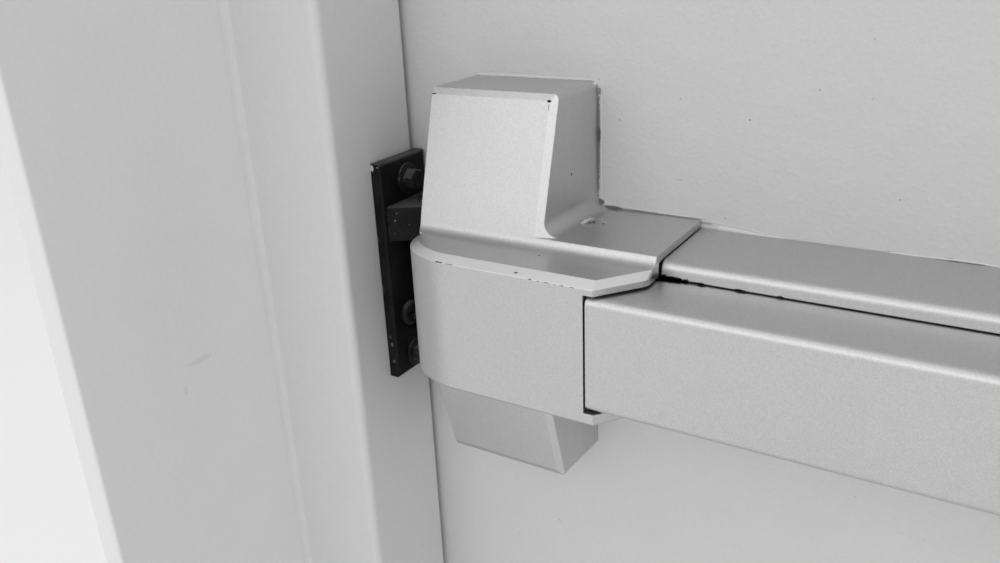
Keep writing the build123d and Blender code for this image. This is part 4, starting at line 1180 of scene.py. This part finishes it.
class DOOR_OT_metal(bpy.types.Operator):
    """Finish the strike, the hinges and the working parts."""

    bl_idname = "door.metal"
    bl_label = "Strike, hinges and works"

    def execute(self, context):
        finish = context.scene.device_finish
        dress("strike_black", blackened, finish.strike_black, finish.strike_wear, STRIKE_MARKS)
        dress("hinge_steel", steel, 0.5, 0.38, UPRIGHT_GRAIN)
        dress("bright_steel", steel, 0.6, 0.26, LENGTHWISE_GRAIN)
        dress("zinc_steel", steel, 0.58, 0.42, LOOSE_GRAIN)
        return {"FINISHED"}


class DOOR_OT_screws(bpy.types.Operator):
    """Make the screws of the hinges, the device and the strike."""

    bl_idname = "door.screws"
    bl_label = "Screws"

    def execute(self, context):
        bright = material("screw_steel", steel, 0.78, 0.36, EVEN_GRAIN, 0.5)
        black = material("black_screws", blackened, context.scene.device_finish.screw_black, 0.2)
        for name, kinds in SCREWS.items():
            finish = black if name == "strike_screws" else bright
            made = [self.screws(context.scene.fastener_sizes, name, finish, *each) for each in kinds]
            settled(soften(one_piece(name + "_threaded", made, finish)), [name])
        return {"FINISHED"}

    def screws(self, sizes, name, finish, kind, facing, head, height, shank):
        """One kind of screw on the places of a CAD node's solids."""
        height *= MM
        values = {
            "Head Radius": getattr(sizes, head),
            "Head Height": height,
            "Recess Depth": height * RECESS_SHARE,
            "Shank Radius": shank * MM,
            "Shank Length": SHANK_LENGTH,
            "Pitch": sizes.pitch,
            "Seed": sizes.seed,
            "Material": finish,
        }
        places = tops(self.boxes(name, kind), facing)
        rows = [(top, out, (length - height) / SHANK_LENGTH) for top, out, length in places]
        title = kind + " screws"
        tree = bpy.data.node_groups.get(title) or geometry_tree(title, SCREW_SIZES, screw, kind)
        return grown(tree, name + "_" + kind, point_mesh(name + "_points", rows), values)

    def boxes(self, name, kind):
        """Boxes of a CAD node's screws. The strike's lock screw is shorter than its two hexagon screws."""
        boxes = separate_boxes(name)
        if name != "strike_screws":
            return boxes
        boxes.sort(key=lambda box: box[0].x - box[1].x)
        return boxes[:2] if kind == "hexagon" else boxes[2:]


class DOOR_OT_springs(bpy.types.Operator):
    """Wind the springs of the latch and of the pull rod."""

    bl_idname = "door.springs"
    bl_label = "Springs"

    def execute(self, context):
        sizes = context.scene.fastener_sizes
        finish = material("spring_steel", steel, 0.4, 0.3, EVEN_GRAIN)
        tree = geometry_tree("coil springs", SPRING_SIZES, spring)
        for name, wire, turns in (
            ("latch_spring", sizes.latch_wire, sizes.latch_turns),
            ("bar_spring", sizes.bar_wire, sizes.bar_turns),
        ):
            low, high = (Vector(corner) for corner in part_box(name))
            middle = (low + high) / 2
            values = {
                "Length": high.x - low.x,
                "Coil Radius": (high.y - low.y) / 2 - wire,
                "Wire Radius": wire,
                "Turns": turns,
                "Material": finish,
            }
            start = point_mesh(name + "_start", [((low.x, middle.y, middle.z), (1, 0, 0), 1.0)])
            settled(soften(grown(tree, name + "_wound", start, values)), [name])
        return {"FINISHED"}


class DOOR_OT_stage(bpy.types.Operator):
    """Set the floor, the light and the camera."""

    bl_idname = "door.stage"
    bl_label = "Studio"

    def execute(self, context):
        scene = context.scene
        scene.view_settings.view_transform = "Standard"
        floor = self.floor(scene.studio_light)
        self.world(scene)
        self.lamps(scene.studio_light)
        self.camera(scene)
        return {"FINISHED"}

    def floor(self, studio):
        """A wide round floor just under the door."""
        mesh = bpy.data.meshes.new("floor")
        work = bmesh.new()
        bmesh.ops.create_circle(work, cap_ends=True, segments=FLOOR_SIDES, radius=FLOOR_RADIUS)
        bmesh.ops.translate(work, verts=work.verts, vec=(0, 0, -FLOOR_DROP))
        work.to_mesh(mesh)
        work.free()
        mesh.materials.append(material("floor", plain_floor, studio.floor_colour))
        return placed("floor", mesh)

    def world(self, scene):
        """Even light from all sides, and a pale background where it is seen or mirrored."""
        studio = scene.studio_light
        scene.world = bpy.data.worlds.new("studio")
        scene.world.use_nodes = True
        tree = scene.world.node_tree
        tree.nodes.clear()
        path = node(tree, "ShaderNodeLightPath").outputs
        seen = maths(tree, "ADD", path["Is Camera Ray"], path["Is Glossy Ray"])
        seen = maths(tree, "MINIMUM", maths(tree, "ADD", seen, path["Is Transmission Ray"]), 1.0)
        light = node(tree, "ShaderNodeBackground", {"Color": grey(1.0), "Strength": studio.sky_strength})
        shown = node(tree, "ShaderNodeBackground", {"Color": grey(studio.backdrop_tone), "Strength": 1.0})
        both = node(tree, "ShaderNodeMixShader", {0: seen, 1: light.outputs[0], 2: shown.outputs[0]})
        node(tree, "ShaderNodeOutputWorld", {0: both.outputs[0]})

    def lamps(self, studio):
        """Wide, dim softboxes before, behind and above the door."""
        for name, (place, target, (width, height), power) in SOFTBOXES.items():
            light = bpy.data.lights.new(name, "AREA")
            light.shape = "RECTANGLE"
            light.size = width
            light.size_y = height
            light.energy = getattr(studio, power)
            lamp = placed(name, light)
            lamp.location = place
            lamp.rotation_euler = (Vector(target) - Vector(place)).to_track_quat("-Z", "Y").to_euler()
            lamp.visible_camera = False

    def camera(self, scene):
        """The photograph's viewpoint."""
        lens = bpy.data.cameras.new("camera")
        for key, value in CAMERA_LENS.items():
            setattr(lens, key, value)
        scene.camera = placed("camera", lens)
        turn = Matrix((CAMERA_RIGHT, -CAMERA_DOWN, -CAMERA_FORWARD)).transposed()
        scene.camera.matrix_world = Matrix.Translation(CAMERA_PLACE) @ turn.to_4x4()


class DOOR_PT_panel(bpy.types.Panel):
    """Lists the steps that dress the door."""

    bl_idname = "DOOR_PT_panel"
    bl_label = "Exit door"
    bl_space_type = "VIEW_3D"
    bl_region_type = "UI"
    bl_category = "Exit door"

    def draw(self, context):
        column = self.layout.column()
        for name, kind in SETTINGS.items():
            for key in kind.__annotations__:
                column.prop(getattr(context.scene, name), key)
        for each in OPERATORS:
            column.operator(each.bl_idname)


OPERATORS = (
    DOOR_OT_frame_paint,
    DOOR_OT_leaf_paint,
    DOOR_OT_paint_beads,
    DOOR_OT_device,
    DOOR_OT_metal,
    DOOR_OT_screws,
    DOOR_OT_springs,
    DOOR_OT_stage,
)
SETTINGS = {
    "door_paint": DoorPaint,
    "device_finish": DeviceFinish,
    "fastener_sizes": FastenerSizes,
    "studio_light": StudioLight,
}
CLASSES = (*SETTINGS.values(), *OPERATORS, DOOR_PT_panel)


def register():
    """Registers the classes and their settings on the scene."""
    for each in CLASSES:
        bpy.utils.register_class(each)
    for name, kind in SETTINGS.items():
        setattr(bpy.types.Scene, name, bpy.props.PointerProperty(type=kind))


def unregister():
    """Takes the settings and the classes away again."""
    for name in SETTINGS:
        delattr(bpy.types.Scene, name)
    for each in reversed(CLASSES):
        bpy.utils.unregister_class(each)


def main():
    """Dresses the door."""
    register()
    for each in OPERATORS:
        group, name = each.bl_idname.split(".")
        getattr(getattr(bpy.ops, group), name)()


if __name__ == "__main__":
    main()
